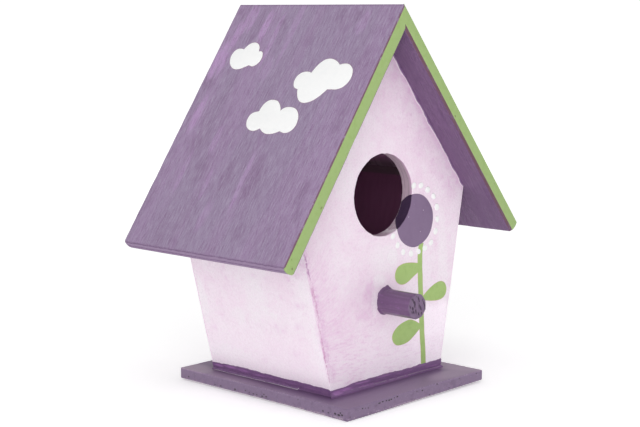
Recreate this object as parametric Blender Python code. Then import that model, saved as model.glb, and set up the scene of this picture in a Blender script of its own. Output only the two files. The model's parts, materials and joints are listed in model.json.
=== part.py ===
"""A small painted wooden birdhouse: flared walls on a base board, a steep two-panel roof and a perch.

Metres, +Z up. The origin is under the middle of the base board, on the surface it stands on. The front,
with the entry hole and the perch, faces -Y. The boards are glued and pinned: every pin is driven below
the surface and filled over, so its seat is closed on the outside and open at the joint.
"""

import math

import bmesh
import bpy
from mathutils import Matrix, Vector

# Clearance kept between two boards that are glued together, and around every pin and the perch.
GLUE_GAP = 0.0003

# Base board.
BASE_WIDTH = 0.0762
BASE_DEPTH = 0.0964
BASE_THICKNESS = 0.0045

# Walls. They lean outwards as they rise, and meet in mitres at the four corners.
WALL_THICKNESS = 0.0054
FOOT_WIDTH = 0.0608
WALL_FRONT_Y = -0.0323
WALL_BACK_Y = 0.0358
FLARE = math.radians(12.3)

# Roof: two equal panels, mitred at the ridge and cut square at the eaves.
RIDGE_HEIGHT = 0.150
ROOF_SLOPE = math.radians(54.4)
ROOF_PANEL_LENGTH = 0.1106
ROOF_THICKNESS = 0.0057
ROOF_FRONT_Y = -0.0450
ROOF_BACK_Y = 0.0475

# Entry hole, and the perch below it.
ENTRY_RADIUS = 0.015875
ENTRY_HEIGHT = 0.0777
PERCH_RADIUS = 0.00475
PERCH_REACH = 0.0159
PERCH_HEIGHT = 0.0364
PERCH_CHAMFER = 0.0004

# Steel pins.
PIN_LENGTH = 0.0130
PIN_RADIUS = 0.0006
PIN_HEAD_RADIUS = 0.0009
PIN_HEAD_THICKNESS = 0.0008
PIN_TIP_LENGTH = 0.0016
PIN_SET_DEPTH = 0.0010
PIN_SIDES = 10

# Softened arrises of the boards.
EDGE_ROUNDING = 0.0003
ROUND_SIDES = 64

FRONT = Vector((0, -1, 0))
BACK = Vector((0, 1, 0))
UP = Vector((0, 0, 1))


def remove_all_objects():
    for obj in list(bpy.data.objects):
        bpy.data.objects.remove(obj)


def material(name, colour, roughness, metallic=0.0):
    made = bpy.data.materials.new(name)
    made.use_nodes = True
    shader = made.node_tree.nodes["Principled BSDF"]
    shader.inputs["Base Color"].default_value = (*colour, 1.0)
    shader.inputs["Roughness"].default_value = roughness
    shader.inputs["Metallic"].default_value = metallic
    return made


def object_from(bm, name, finish=None):
    """Closes a bmesh into a named object, with its faces turned outwards."""
    bmesh.ops.recalc_face_normals(bm, faces=bm.faces)
    mesh = bpy.data.meshes.new(name)
    bm.to_mesh(mesh)
    bm.free()
    obj = bpy.data.objects.new(name, mesh)
    bpy.context.scene.collection.objects.link(obj)
    if finish:
        mesh.materials.append(finish)
    return obj


def plank(outline, from_y, to_y):
    """A bmesh prism: an outline of (x, z) points, run along Y."""
    bm = bmesh.new()
    face = bm.faces.new([bm.verts.new((x, from_y, z)) for x, z in outline])
    swept = bmesh.ops.extrude_face_region(bm, geom=[face])
    moved = [item for item in swept["geom"] if isinstance(item, bmesh.types.BMVert)]
    bmesh.ops.translate(bm, verts=moved, vec=(0, to_y - from_y, 0))
    return bm


def saw(bm, point, waste_side):
    """Cuts the bmesh along a plane, drops what lies on the waste side and closes the cut."""
    everything = bm.verts[:] + bm.edges[:] + bm.faces[:]
    cut = bmesh.ops.bisect_plane(
        bm, geom=everything, plane_co=point, plane_no=waste_side, clear_outer=True
    )
    edges = [item for item in cut["geom_cut"] if isinstance(item, bmesh.types.BMEdge)]
    bmesh.ops.contextual_create(bm, geom=edges)


def turned(profile, sides, name, finish=None):
    """A solid of revolution about its own Z axis, from (radius, z) points that start and end on the axis."""
    bm = bmesh.new()
    points = [bm.verts.new((radius, 0, z)) for radius, z in profile]
    edges = [bm.edges.new(pair) for pair in zip(points, points[1:])]
    bmesh.ops.spin(
        bm, geom=points + edges, axis=UP, cent=(0, 0, 0), angle=math.tau, steps=sides, use_merge=True
    )
    bmesh.ops.remove_doubles(bm, verts=bm.verts, dist=1e-6)
    obj = object_from(bm, name, finish)
    obj.data.shade_smooth()
    obj.data.set_sharp_from_angle(angle=math.radians(35))
    return obj


def stand_along(obj, point, direction):
    """Places a turned object with its +Z along a direction."""
    turn = Vector(direction).to_track_quat("Z", "Y").to_matrix().to_4x4()
    obj.matrix_world = Matrix.Translation(point) @ turn


def as_cutter(obj):
    obj.hide_render = True
    obj.display_type = "WIRE"
    return obj


def cut_with(obj, cutter):
    hole = obj.modifiers.new(cutter.name, "BOOLEAN")
    hole.operation = "DIFFERENCE"
    hole.object = cutter


def round_edges(obj):
    bevel = obj.modifiers.new("softened_edges", "BEVEL")
    bevel.width = EDGE_ROUNDING
    bevel.segments = 2
    bevel.limit_method = "ANGLE"
    bevel.angle_limit = math.radians(25)


# ---- Lines that several boards share ------------------------------------------------------------


def wall_half_width(z):
    """Half the outside width of the house at a height."""
    return FOOT_WIDTH / 2 + (z - BASE_THICKNESS) * math.tan(FLARE)


def underside_height(x, clearance=0.0):
    """Height of the roof's underside above a point, less a clearance measured square to it."""
    drop = (ROOF_THICKNESS + clearance) / math.cos(ROOF_SLOPE)
    return RIDGE_HEIGHT - drop - abs(x) * math.tan(ROOF_SLOPE)


def eave_corner():
    """(x, z) where the outside of a side wall meets the roof's underside, less the glue gap."""
    top = underside_height(0, GLUE_GAP)
    rise = top + BASE_THICKNESS * math.tan(FLARE) * math.tan(ROOF_SLOPE)
    z = (rise - FOOT_WIDTH / 2 * math.tan(ROOF_SLOPE)) / (1 + math.tan(FLARE) * math.tan(ROOF_SLOPE))
    return wall_half_width(z), z


def saw_mitres(bm, board_is_gable, sides, ends):
    """Cuts the corner mitres of a wall. Each board stops half a glue gap short of the mitre plane."""
    for side in sides:
        wall_normal = Vector((side * math.cos(FLARE), 0, -math.sin(FLARE)))
        for end, end_y in ends:
            corner = Vector((side * FOOT_WIDTH / 2, end_y, BASE_THICKNESS))
            towards_side = (wall_normal - end).normalized()
            waste = towards_side if board_is_gable else -towards_side
            saw(bm, corner - waste * GLUE_GAP / 2, waste)


# ---- Boards ---------------------------------------------------------------------------------------


def make_base(finish):
    x = BASE_WIDTH / 2
    outline = [(-x, 0), (x, 0), (x, BASE_THICKNESS), (-x, BASE_THICKNESS)]
    board = object_from(plank(outline, -BASE_DEPTH / 2, BASE_DEPTH / 2), "base_board", finish)
    round_edges(board)
    return board


def make_gable_wall(name, outer_y, inwards, finish):
    """The front or the back wall: five-sided, flared, with mitred sides."""
    foot_z = BASE_THICKNESS + GLUE_GAP
    foot_x = wall_half_width(foot_z)
    eave_x, eave_z = eave_corner()
    peak = (0, underside_height(0, GLUE_GAP))
    outline = [(-foot_x, foot_z), (foot_x, foot_z), (eave_x, eave_z), peak, (-eave_x, eave_z)]
    bm = plank(outline, outer_y, outer_y + inwards.y * WALL_THICKNESS)
    saw_mitres(bm, True, (-1, 1), [(-inwards, outer_y)])
    return object_from(bm, name, finish)


def make_side_wall(name, side, finish):
    """A side wall: a board leaning outwards, level along its foot and mitred at both ends."""
    foot_z = BASE_THICKNESS + GLUE_GAP
    level_thickness = WALL_THICKNESS / math.cos(FLARE)
    eave_x, eave_z = eave_corner()
    inner_top_x = eave_x - WALL_THICKNESS * math.cos(FLARE)
    inner_top_z = eave_z + WALL_THICKNESS * math.sin(FLARE)
    foot_x = wall_half_width(foot_z)
    outline = [
        (side * foot_x, foot_z),
        (side * eave_x, eave_z),
        (side * inner_top_x, inner_top_z),
        (side * (foot_x - level_thickness), foot_z),
    ]
    bm = plank(outline, WALL_FRONT_Y, WALL_BACK_Y)
    saw_mitres(bm, False, (side,), [(FRONT, WALL_FRONT_Y), (BACK, WALL_BACK_Y)])
    return object_from(bm, name, finish)


def make_roof_panel(name, side, finish):
    """A roof panel: mitred along the ridge and cut square along the eave."""
    down = Vector((side * math.cos(ROOF_SLOPE), -math.sin(ROOF_SLOPE)))
    inwards = Vector((-side * math.sin(ROOF_SLOPE), -math.cos(ROOF_SLOPE)))
    ridge = Vector((0, RIDGE_HEIGHT))
    eave = ridge + down * ROOF_PANEL_LENGTH
    inner_eave = eave + inwards * ROOF_THICKNESS
    inner_ridge = Vector((0, underside_height(0)))
    bm = plank([ridge, eave, inner_eave, inner_ridge], ROOF_FRONT_Y, ROOF_BACK_Y)
    saw(bm, Vector((side * GLUE_GAP / 2, 0, 0)), Vector((-side, 0, 0)))
    board = object_from(bm, name, finish)
    round_edges(board)
    return board


def make_perch(finish):
    inner_z = -WALL_THICKNESS
    profile = [
        (0, inner_z),
        (PERCH_RADIUS, inner_z),
        (PERCH_RADIUS, PERCH_REACH - PERCH_CHAMFER),
        (PERCH_RADIUS - PERCH_CHAMFER, PERCH_REACH),
        (0, PERCH_REACH),
    ]
    dowel = turned(profile, ROUND_SIDES // 2, "perch_dowel", finish)
    stand_along(dowel, (0, WALL_FRONT_Y, PERCH_HEIGHT), FRONT)


def drill(board, name, radius, point, direction, sides):
    """A round hole right through a board that is WALL_THICKNESS thick."""
    overrun = WALL_THICKNESS
    depth = 2 * WALL_THICKNESS
    profile = [(0, -depth), (radius, -depth), (radius, overrun), (0, overrun)]
    cutter = as_cutter(turned(profile, sides, name))
    stand_along(cutter, point, direction)
    cut_with(board, cutter)


# ---- Pins -----------------------------------------------------------------------------------------


def pin_profile(grow):
    """Half outline of a pin whose head top is at z = 0, with its point at -Z, grown all round by a margin."""
    neck = -PIN_HEAD_THICKNESS
    return [
        (0, -PIN_LENGTH - grow),
        (PIN_RADIUS + grow, -PIN_LENGTH + PIN_TIP_LENGTH),
        (PIN_RADIUS + grow, neck - grow),
        (PIN_HEAD_RADIUS + grow, neck - grow),
        (PIN_HEAD_RADIUS + grow, grow),
        (0, grow),
    ]


def drive_pin(name, surface_point, outwards, boards, finish):
    """A pin through the first board into the second, its head PIN_SET_DEPTH under the surface."""
    outwards = Vector(outwards).normalized()
    head = Vector(surface_point) - outwards * PIN_SET_DEPTH
    stand_along(turned(pin_profile(0.0), PIN_SIDES, name, finish), head, outwards)
    seat = as_cutter(turned(pin_profile(GLUE_GAP), PIN_SIDES, name + "_seat"))
    stand_along(seat, head, outwards)
    for board in boards:
        cut_with(board, seat)


def pin_roof(roof, gables, finish):
    """Two pins through each roof panel into the sloping edge of each gable wall."""
    distances_down = (0.030, 0.078)
    for side, side_name in ((-1, "left"), (1, "right")):
        outwards = Vector((side * math.sin(ROOF_SLOPE), 0, math.cos(ROOF_SLOPE)))
        down = Vector((side * math.cos(ROOF_SLOPE), 0, -math.sin(ROOF_SLOPE)))
        for end_name, wall in gables.items():
            middle_y = wall_middle_y(end_name)
            for place, distance in zip(("upper", "lower"), distances_down):
                point = Vector((0, middle_y, RIDGE_HEIGHT)) + down * distance
                name = f"{side_name}_roof_{end_name}_pin_{place}"
                drive_pin(name, point, outwards, (roof[side_name], wall), finish)


def pin_corners(sides, gables, finish):
    """Two pins through each end of the front and back walls into the side walls."""
    from_corner = 0.0037
    for end_name, wall in gables.items():
        outwards = FRONT if end_name == "front" else BACK
        outer_y = WALL_FRONT_Y if end_name == "front" else WALL_BACK_Y
        for side, side_name in ((-1, "left"), (1, "right")):
            for place, z in (("upper", 0.060), ("lower", 0.020)):
                point = (side * (wall_half_width(z) - from_corner), outer_y, z)
                name = f"{end_name}_{side_name}_corner_pin_{place}"
                drive_pin(name, point, outwards, (wall, sides[side_name]), finish)


def pin_base(base, gables, finish):
    """Two pins up through the base board into the foot of each gable wall."""
    spread = 0.016
    for end_name, wall in gables.items():
        for side, side_name in ((-1, "left"), (1, "right")):
            point = (side * spread, wall_middle_y(end_name), 0)
            name = f"base_{end_name}_pin_{side_name}"
            drive_pin(name, point, -UP, (base, wall), finish)


def wall_middle_y(end_name):
    if end_name == "front":
        return WALL_FRONT_Y + WALL_THICKNESS / 2
    return WALL_BACK_Y - WALL_THICKNESS / 2


def build():
    remove_all_objects()
    purple = material("purple_paint", (0.235, 0.155, 0.285), 0.55)
    lilac = material("lilac_paint", (0.83, 0.70, 0.82), 0.6)
    plum = material("plum_paint", (0.165, 0.090, 0.205), 0.55)
    steel = material("steel", (0.55, 0.55, 0.56), 0.35, 1.0)

    base = make_base(purple)
    gables = {
        "front": make_gable_wall("front_wall", WALL_FRONT_Y, BACK, lilac),
        "back": make_gable_wall("back_wall", WALL_BACK_Y, FRONT, lilac),
    }
    sides = {
        "left": make_side_wall("left_wall", -1, lilac),
        "right": make_side_wall("right_wall", 1, lilac),
    }
    roof = {
        "left": make_roof_panel("left_roof_panel", -1, purple),
        "right": make_roof_panel("right_roof_panel", 1, purple),
    }
    entry = (0, WALL_FRONT_Y, ENTRY_HEIGHT)
    drill(gables["front"], "entry_hole", ENTRY_RADIUS, entry, FRONT, ROUND_SIDES)
    seat = (0, WALL_FRONT_Y, PERCH_HEIGHT)
    drill(gables["front"], "perch_hole", PERCH_RADIUS + GLUE_GAP, seat, FRONT, ROUND_SIDES // 2)
    make_perch(plum)
    pin_roof(roof, gables, steel)
    pin_corners(sides, gables, steel)
    pin_base(base, gables, steel)


build()
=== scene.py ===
"""The looks of the painted birdhouse: hand-painted plywood boards, paint ridges, clouds and a flower.

Each CAD board is replaced by a board with rounded, hand-sanded arrises and a slightly uneven face, of
the same size and in the same place. All lengths are in metres, in the frame of the CAD model: +Z up, the
front with the entry hole facing -Y.
"""

import json
import math

import bmesh
import bpy
from mathutils import Matrix, Vector, noise
from mathutils.geometry import tessellate_polygon


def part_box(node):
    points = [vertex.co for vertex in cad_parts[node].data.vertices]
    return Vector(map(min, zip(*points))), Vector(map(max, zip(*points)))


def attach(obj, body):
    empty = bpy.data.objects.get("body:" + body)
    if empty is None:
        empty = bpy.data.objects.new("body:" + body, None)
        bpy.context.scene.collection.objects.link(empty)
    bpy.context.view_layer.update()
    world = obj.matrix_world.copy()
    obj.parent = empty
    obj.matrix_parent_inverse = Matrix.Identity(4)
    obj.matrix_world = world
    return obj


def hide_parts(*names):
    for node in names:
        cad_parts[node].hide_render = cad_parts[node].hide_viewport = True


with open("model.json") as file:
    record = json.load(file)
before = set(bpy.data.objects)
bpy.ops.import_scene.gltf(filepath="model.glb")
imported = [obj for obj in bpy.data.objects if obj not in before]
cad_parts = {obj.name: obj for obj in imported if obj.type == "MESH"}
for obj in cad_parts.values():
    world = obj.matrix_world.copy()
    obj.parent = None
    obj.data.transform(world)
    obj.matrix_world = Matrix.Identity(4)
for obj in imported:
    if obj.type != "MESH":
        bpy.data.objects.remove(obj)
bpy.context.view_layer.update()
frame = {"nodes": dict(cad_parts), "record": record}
MM = 0.001
SEAT = 0.35 * MM  # how far the walls' tops are let into the roof, so that no light shows between them
ROOF_ARRIS = 0.55 * MM  # the radii of the sanded arrises
WALL_ARRIS = 0.22 * MM
BASE_ARRIS = 0.5 * MM

# ---- What the CAD model says ------------------------------------------------------------------------


def cad_points(node):
    return [Vector(v.co) for v in frame["nodes"][node].data.vertices]


def board_face(node, hint):
    """(outward normal, distance of the outer face, thickness) of a flat board, from its largest face."""
    normal = max(frame["nodes"][node].data.polygons, key=lambda face: face.area).normal.copy()
    normal.y = 0
    normal.normalize()
    if normal.dot(hint) < 0:
        normal.negate()
    reach = [normal.dot(point) for point in cad_points(node)]
    return normal, max(reach), max(reach) - min(reach)


class Roof:
    """A roof panel's lines: its outer plane, thickness, slope direction, length and ends."""

    def __init__(self, node, side):
        self.side = side
        self.normal, self.offset, self.thickness = board_face(node, Vector((side, 0, 1)))
        self.down = Vector((side * self.normal.z, 0, -abs(self.normal.x)))
        self.ridge_z = self.offset / self.normal.z
        ridge = Vector((0, 0, self.ridge_z))
        self.length = max(self.down.dot(point - ridge) for point in cad_points(node))
        low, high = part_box(node)
        self.front, self.back = low.y, high.y
        self.tangent = abs(self.normal.x) / self.normal.z

    def point(self, down, y, depth=0.0):
        """A point so far down the slope from the ridge and so deep under the outer face."""
        ridge = Vector((0, y, self.ridge_z))
        return ridge + self.down * down - self.normal * depth

    def underside(self, x):
        return self.ridge_z - self.thickness / self.normal.z - abs(x) * self.tangent


class SideWall:
    """A side wall's lines: its outer plane, thickness and top."""

    def __init__(self, node, side, foot_z):
        self.side = side
        self.foot_z = foot_z
        self.normal, self.offset, self.thickness = board_face(node, Vector((side, 0, 0)))
        self.up = Vector((-side * self.normal.z, 0, abs(self.normal.x)))
        self.foot = Vector((side * self.half_width(foot_z), 0, foot_z))

    def half_width(self, z):
        return (self.offset - self.normal.z * z) / abs(self.normal.x)

    def point(self, up, y, depth=0.0):
        return self.foot + Vector((0, y, 0)) + self.up * up - self.normal * depth

    def top(self, roof, depth):
        """How far up the wall the roof's underside is, at a depth in the wall."""
        slope = Vector((self.side * roof.tangent, 0, 1))
        gap = roof.underside(0) - slope.dot(self.foot) + slope.dot(self.normal) * depth
        return gap / slope.dot(self.up)


BASE_LOW, BASE_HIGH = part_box("base_board")
FLOOR_Z = BASE_LOW.z
FOOT_Z = BASE_HIGH.z
FRONT_LOW, FRONT_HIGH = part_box("front_wall")
FRONT_Y = FRONT_LOW.y
BACK_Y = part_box("back_wall")[1].y
MIDDLE_Y = (FRONT_Y + BACK_Y) / 2
HALF_DEPTH = (BACK_Y - FRONT_Y) / 2
GABLE_THICKNESS = FRONT_HIGH.y - FRONT_LOW.y
ROOFS = {"left": Roof("left_roof_panel", -1), "right": Roof("right_roof_panel", 1)}
WALLS = {"left": SideWall("left_wall", -1, FOOT_Z), "right": SideWall("right_wall", 1, FOOT_Z)}
ENTRY_BOX = [o for o in frame["record"]["physics"]["openings"] if o["name"] == "entry_hole"][0]["box_m"]
ENTRY = Vector((0, FRONT_Y, (ENTRY_BOX[0][2] + ENTRY_BOX[1][2]) / 2))
ENTRY_RADIUS = min(
    (point - ENTRY).length for point in cad_points("front_wall") if abs(point.y - FRONT_Y) < 0.01 * MM
)
PERCH_LOW, PERCH_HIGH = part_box("perch_dowel")
PERCH = Vector((0, FRONT_Y, (PERCH_LOW.z + PERCH_HIGH.z) / 2))
PERCH_RADIUS = (PERCH_HIGH.z - PERCH_LOW.z) / 2
PERCH_REACH = FRONT_Y - PERCH_LOW.y
PERCH_END_Y = PERCH_LOW.y


def eave_corner():
    """(x, z) where a side wall's outer face meets the roof's underside."""
    wall, roof = WALLS["right"], ROOFS["right"]
    flare = -wall.normal.z / abs(wall.normal.x)
    z = (roof.underside(0) - wall.half_width(0) * roof.tangent) / (1 + flare * roof.tangent)
    return wall.half_width(z), z


def hole_reach(angle):
    """The entry hole's radius at an angle round it: cut by hand, it wanders a little."""
    way = Vector((math.cos(angle), 0, math.sin(angle)))
    ragged = 0.12 * noise.noise(way * 2.3 + Vector((9, 0, 4))) + 0.16 * noise.noise(way * 9.0)
    return ENTRY_RADIUS + ragged * MM


def hole_rim(at):
    """The entry hole's radius on the way to a place (x, z)."""
    return hole_reach(math.atan2(at.y - ENTRY.z, at.x - ENTRY.x))


# ---- Mesh building ----------------------------------------------------------------------------------


def lumps(point, per_metre, seed=0.0):
    """Smooth noise from about -1 to 1 at a point, with so many lumps to the metre."""
    return noise.noise(Vector(point) * per_metre + Vector((seed, 7.3 * seed, -3.1 * seed)))


def ease(x, start, end):
    """0 before start, 1 after end and smooth between."""
    t = min(1.0, max(0.0, (x - start) / (end - start)))
    return t * t * (3 - 2 * t)


def in_scene(name, data):
    """An object that holds some data, put in the scene."""
    made = bpy.data.objects.new(name, data)
    bpy.context.scene.collection.objects.link(made)
    return made


def finished(mesh, paint, stands_for=(), smooth_angle=40, which_paint=None):
    """Makes the piece, turns its faces outwards, gives it its paint and puts it on the house.

    With several paints, which_paint(centre of a face) picks one.
    """
    bm = bmesh.new()
    bm.from_mesh(mesh)
    bmesh.ops.recalc_face_normals(bm, faces=bm.faces)
    bm.to_mesh(mesh)
    bm.free()
    piece = in_scene(mesh.name, mesh)
    for each in paint if isinstance(paint, (list, tuple)) else [paint]:
        mesh.materials.append(each)
    if which_paint:
        for face in mesh.polygons:
            face.material_index = which_paint(face.center)
    mesh.shade_smooth()
    mesh.set_sharp_from_angle(angle=math.radians(smooth_angle))
    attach(piece, "root")
    if stands_for:
        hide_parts(*stands_for)
    return piece


def mesh_of(name, points, faces):
    mesh = bpy.data.meshes.new(name)
    mesh.from_pydata([tuple(p) for p in points], [], faces)
    mesh.validate()
    return mesh


def tubes_mesh(name, tubes, closed_tube=False):
    """Skins over tubes, each given as rings of points. A closed tube's ends join, and others are capped."""
    points, faces = [], []
    for rings in tubes:
        count, start = len(rings[0]), len(points)
        points += [p for ring in rings for p in ring]
        for r in range(len(rings) if closed_tube else len(rings) - 1):
            here, there = start + r * count, start + (r + 1) % len(rings) * count
            for i in range(count):
                j = (i + 1) % count
                faces.append((here + i, here + j, there + j, there + i))
        if not closed_tube:
            faces += [tuple(range(start, start + count)), tuple(range(len(points) - count, len(points)))]
    return mesh_of(name, points, faces)


def turns(count):
    """Angles evenly spaced round a circle."""
    return [math.tau * i / count for i in range(count)]


def ticks(low, high, pitch, round_low, round_high):
    """Places along an edge, close together where its ends are rounded."""
    fine = (0.0, 0.12, 0.35, 0.65, 1.0)
    first = [low + f * round_low for f in fine] if round_low else [low]
    last = [high - f * round_high for f in reversed(fine)] if round_high else [high]
    steps = max(1, round((last[0] - first[-1]) / pitch))
    between = [first[-1] + (last[0] - first[-1]) * i / steps for i in range(1, steps)]
    return first + between + last


def lattice_mesh(name, us, vs, ws, place):
    """The closed skin of a block of lattice points, each put in space by place(u, v, w)."""
    points, index, faces = [], {}, []

    def vertex(key):
        if key not in index:
            index[key] = len(points)
            points.append(place(us[key[0]], vs[key[1]], ws[key[2]]))
        return index[key]

    axes = (us, vs, ws)
    for axis in range(3):
        a, b = (axis + 1) % 3, (axis + 2) % 3
        for end in (0, len(axes[axis]) - 1):
            for i in range(len(axes[a]) - 1):
                for j in range(len(axes[b]) - 1):
                    corners = []
                    for di, dj in ((0, 0), (1, 0), (1, 1), (0, 1)):
                        key = [0, 0, 0]
                        key[axis], key[a], key[b] = end, i + di, j + dj
                        corners.append(vertex(tuple(key)))
                    faces.append(corners)
    return mesh_of(name, points, faces)


def round_off(point, low, high, radius, sharp=()):
    """Moves a point on a block's skin to its rounded skin. Axis and end pairs in sharp aren't rounded."""
    core = Vector(point)
    for axis in range(3):
        if (axis, 0) not in sharp:
            core[axis] = max(core[axis], low[axis] + radius)
        if (axis, 1) not in sharp:
            core[axis] = min(core[axis], high[axis] - radius)
    away = Vector(point) - core
    return core + away.normalized() * radius if away.length > 1e-9 else Vector(point)


def hand_sanded(point, radius, seed):
    """An arris radius that varies along the board, as a sanding block leaves it."""
    return radius * (1 + 0.35 * lumps(point, 130, seed) + 0.25 * lumps(point, 420, seed))


def eave_bulge(roof, down, depth):
    """How far the worn eave end swells out beyond its rounded arrises."""
    across = 2 * depth / roof.thickness - 1
    return ease(down, roof.length - 2.5 * MM, roof.length - 0.3 * MM) * MM * (0.85 * (1 - across**2) - 0.30)


def roof_board(side_name, paint):
    """A roof panel: sharp at the ridge mitre, rounded elsewhere, with the plies showing on its eave end."""
    roof = ROOFS[side_name]
    radius = ROOF_ARRIS
    low = Vector((0, roof.front, 0))
    high = Vector((roof.length, roof.back, roof.thickness))
    seed = 3.0 + roof.side
    ply = roof.thickness / 3

    def place(u, v, w):
        raw = Vector((u, v, w))
        at = round_off(raw, low, high, hand_sanded(raw, radius, seed), sharp={(0, 0)})
        worn = ease(u, 0, 4 * MM)
        at.z += worn * 0.05 * MM * lumps((at.x, at.y, w), 60, seed)
        if u > high.x - 0.01 * MM:
            from_seam = min(abs(w - ply), abs(w - 2 * ply))
            at.x -= 0.04 * MM * (1 - ease(from_seam, 0, 0.45 * MM))
            at.x += 0.03 * MM * lumps((v, w, u), 160, seed)
        at.x += eave_bulge(roof, at.x, at.z)
        # The underside starts lower down than the face, because the ridge is mitred.
        at.x += at.z * roof.tangent * (1 - at.x / roof.length)
        return roof.point(at.x, at.y, at.z)

    us = ticks(0, high.x, 1.6 * MM, 0, 1.4 * radius)
    vs = ticks(low.y, high.y, 1.4 * MM, 1.4 * radius, 1.4 * radius)
    ws = ticks(0, high.z, 0.3 * MM, 1.4 * radius, 1.4 * radius)
    us = [u for u in us if u < high.x - 3 * MM] + ticks(high.x - 3 * MM, high.x, 0.35 * MM, 0, 0)
    mesh = lattice_mesh(f"roof_{side_name}", us, vs, ws, place)
    return finished(mesh, paint, [f"{side_name}_roof_panel"])


def base_board(paint):
    radius = BASE_ARRIS

    def place(u, v, w):
        raw = Vector((u, v, w))
        at = round_off(raw, BASE_LOW, BASE_HIGH, hand_sanded(raw, radius, 9.0))
        on_edge = 1 - ease(min(BASE_HIGH.x - abs(u), BASE_HIGH.y - abs(v)), 0, 1.2 * MM)
        sunk = on_edge * 0.10 * MM * max(0.0, lumps(raw, 330, 2.0))
        outwards = Vector((math.copysign(1, u), math.copysign(1, v), 0))
        at -= Vector((outwards.x * sunk, outwards.y * sunk, 0))
        if w > FLOOR_Z + radius:
            at.z += 0.04 * MM * lumps((u, v, 0), 70, 5.0) - 0.04 * MM
        # The front left corner droops a little, and the board is thinner towards the right.
        leftness = (BASE_HIGH.x - u) / (BASE_HIGH.x - BASE_LOW.x)
        frontness = (BASE_HIGH.y - v) / (BASE_HIGH.y - BASE_LOW.y)
        beyond = ease(frontness, 0.62, 1) * ease(leftness, 0.0, 1)
        at.z -= 0.42 * MM * beyond
        if w < (FLOOR_Z + FOOT_Z) / 2:
            at.z += MM * frontness**2 * (0.35 * (1 - leftness) - 0.30 * leftness)
        return at

    us = ticks(BASE_LOW.x, BASE_HIGH.x, 1.1 * MM, 1.4 * radius, 1.4 * radius)
    vs = ticks(BASE_LOW.y, BASE_HIGH.y, 1.1 * MM, 1.4 * radius, 1.4 * radius)
    ws = ticks(BASE_LOW.z, BASE_HIGH.z, 0.4 * MM, 1.4 * radius, 1.4 * radius)
    mesh = lattice_mesh("base", us, vs, ws, place)
    return finished(mesh, paint, ["base_board"])


def side_board(side_name, paint):
    """A side wall: level along its foot, mitred at both ends."""
    wall = WALLS[side_name]
    radius = WALL_ARRIS
    lean = -wall.normal.z / abs(wall.normal.x)
    roof = ROOFS[side_name]
    low = Vector((0, FRONT_Y, 0))
    high = Vector((wall.top(roof, 0), BACK_Y, wall.thickness))
    seed = 20.0 + wall.side

    def place(u, v, w):
        raw = Vector((u, v, w))
        at = round_off(raw, low, high, hand_sanded(raw, radius, seed), sharp={(0, 0), (0, 1), (2, 1)})
        inside = ease(min(v - FRONT_Y, BACK_Y - v), 0, 3 * MM)
        at.z += inside * 0.05 * MM * lumps((u, v, w), 60, seed)
        at.y = MIDDLE_Y + (at.y - MIDDLE_Y) * (HALF_DEPTH - at.z) / HALF_DEPTH
        share = u / high.x
        up = -at.z * lean * (1 - share) + (wall.top(roof, at.z) + SEAT) * share
        return wall.point(up, at.y, at.z)

    us = ticks(0, high.x, 1.6 * MM, 0, 0)
    vs = ticks(FRONT_Y, BACK_Y, 1.6 * MM, 1.4 * radius, 1.4 * radius)
    ws = ticks(0, high.z, 1.2 * MM, 1.4 * radius, 0)
    mesh = lattice_mesh(f"wall_{side_name}", us, vs, ws, place)

    def which_paint(centre):
        return int(wall.normal.dot(centre) < wall.offset - wall.thickness + 0.1 * MM)

    return finished(mesh, paint, [f"{side_name}_wall"], which_paint=which_paint)


def wall_top_down(side_name):
    """How far down a roof panel the side wall's inner face meets its underside."""
    wall, roof = WALLS[side_name], ROOFS[side_name]
    at = wall.point(wall.top(roof, wall.thickness), 0, wall.thickness)
    return (at - Vector((0, 0, roof.ridge_z))).dot(roof.down)


def gable_outline(inset):
    """A gable wall's five corners (x, z), its sides moved in by an inset and its top just in the roof."""
    corner_x, corner_z = eave_corner()
    wall, roof = WALLS["right"], ROOFS["right"]
    foot_x = wall.half_width(FOOT_Z) - inset
    flare = -wall.normal.z / abs(wall.normal.x)
    top_x = corner_x - inset / (1 + flare * roof.tangent)
    top_z = roof.underside(top_x) + SEAT
    apex = (0, roof.underside(0) + SEAT)
    return [(-foot_x, FOOT_Z), (foot_x, FOOT_Z), (top_x, top_z), apex, (-top_x, top_z)]


def spaced_round(corners, counts):
    """Points round an outline, with a set number on each side."""
    points = []
    for (a, b), count in zip(zip(corners, corners[1:] + corners[:1]), counts):
        for i in range(count):
            t = i / count
            points.append((a[0] + (b[0] - a[0]) * t, a[1] + (b[1] - a[1]) * t))
    return points


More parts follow.
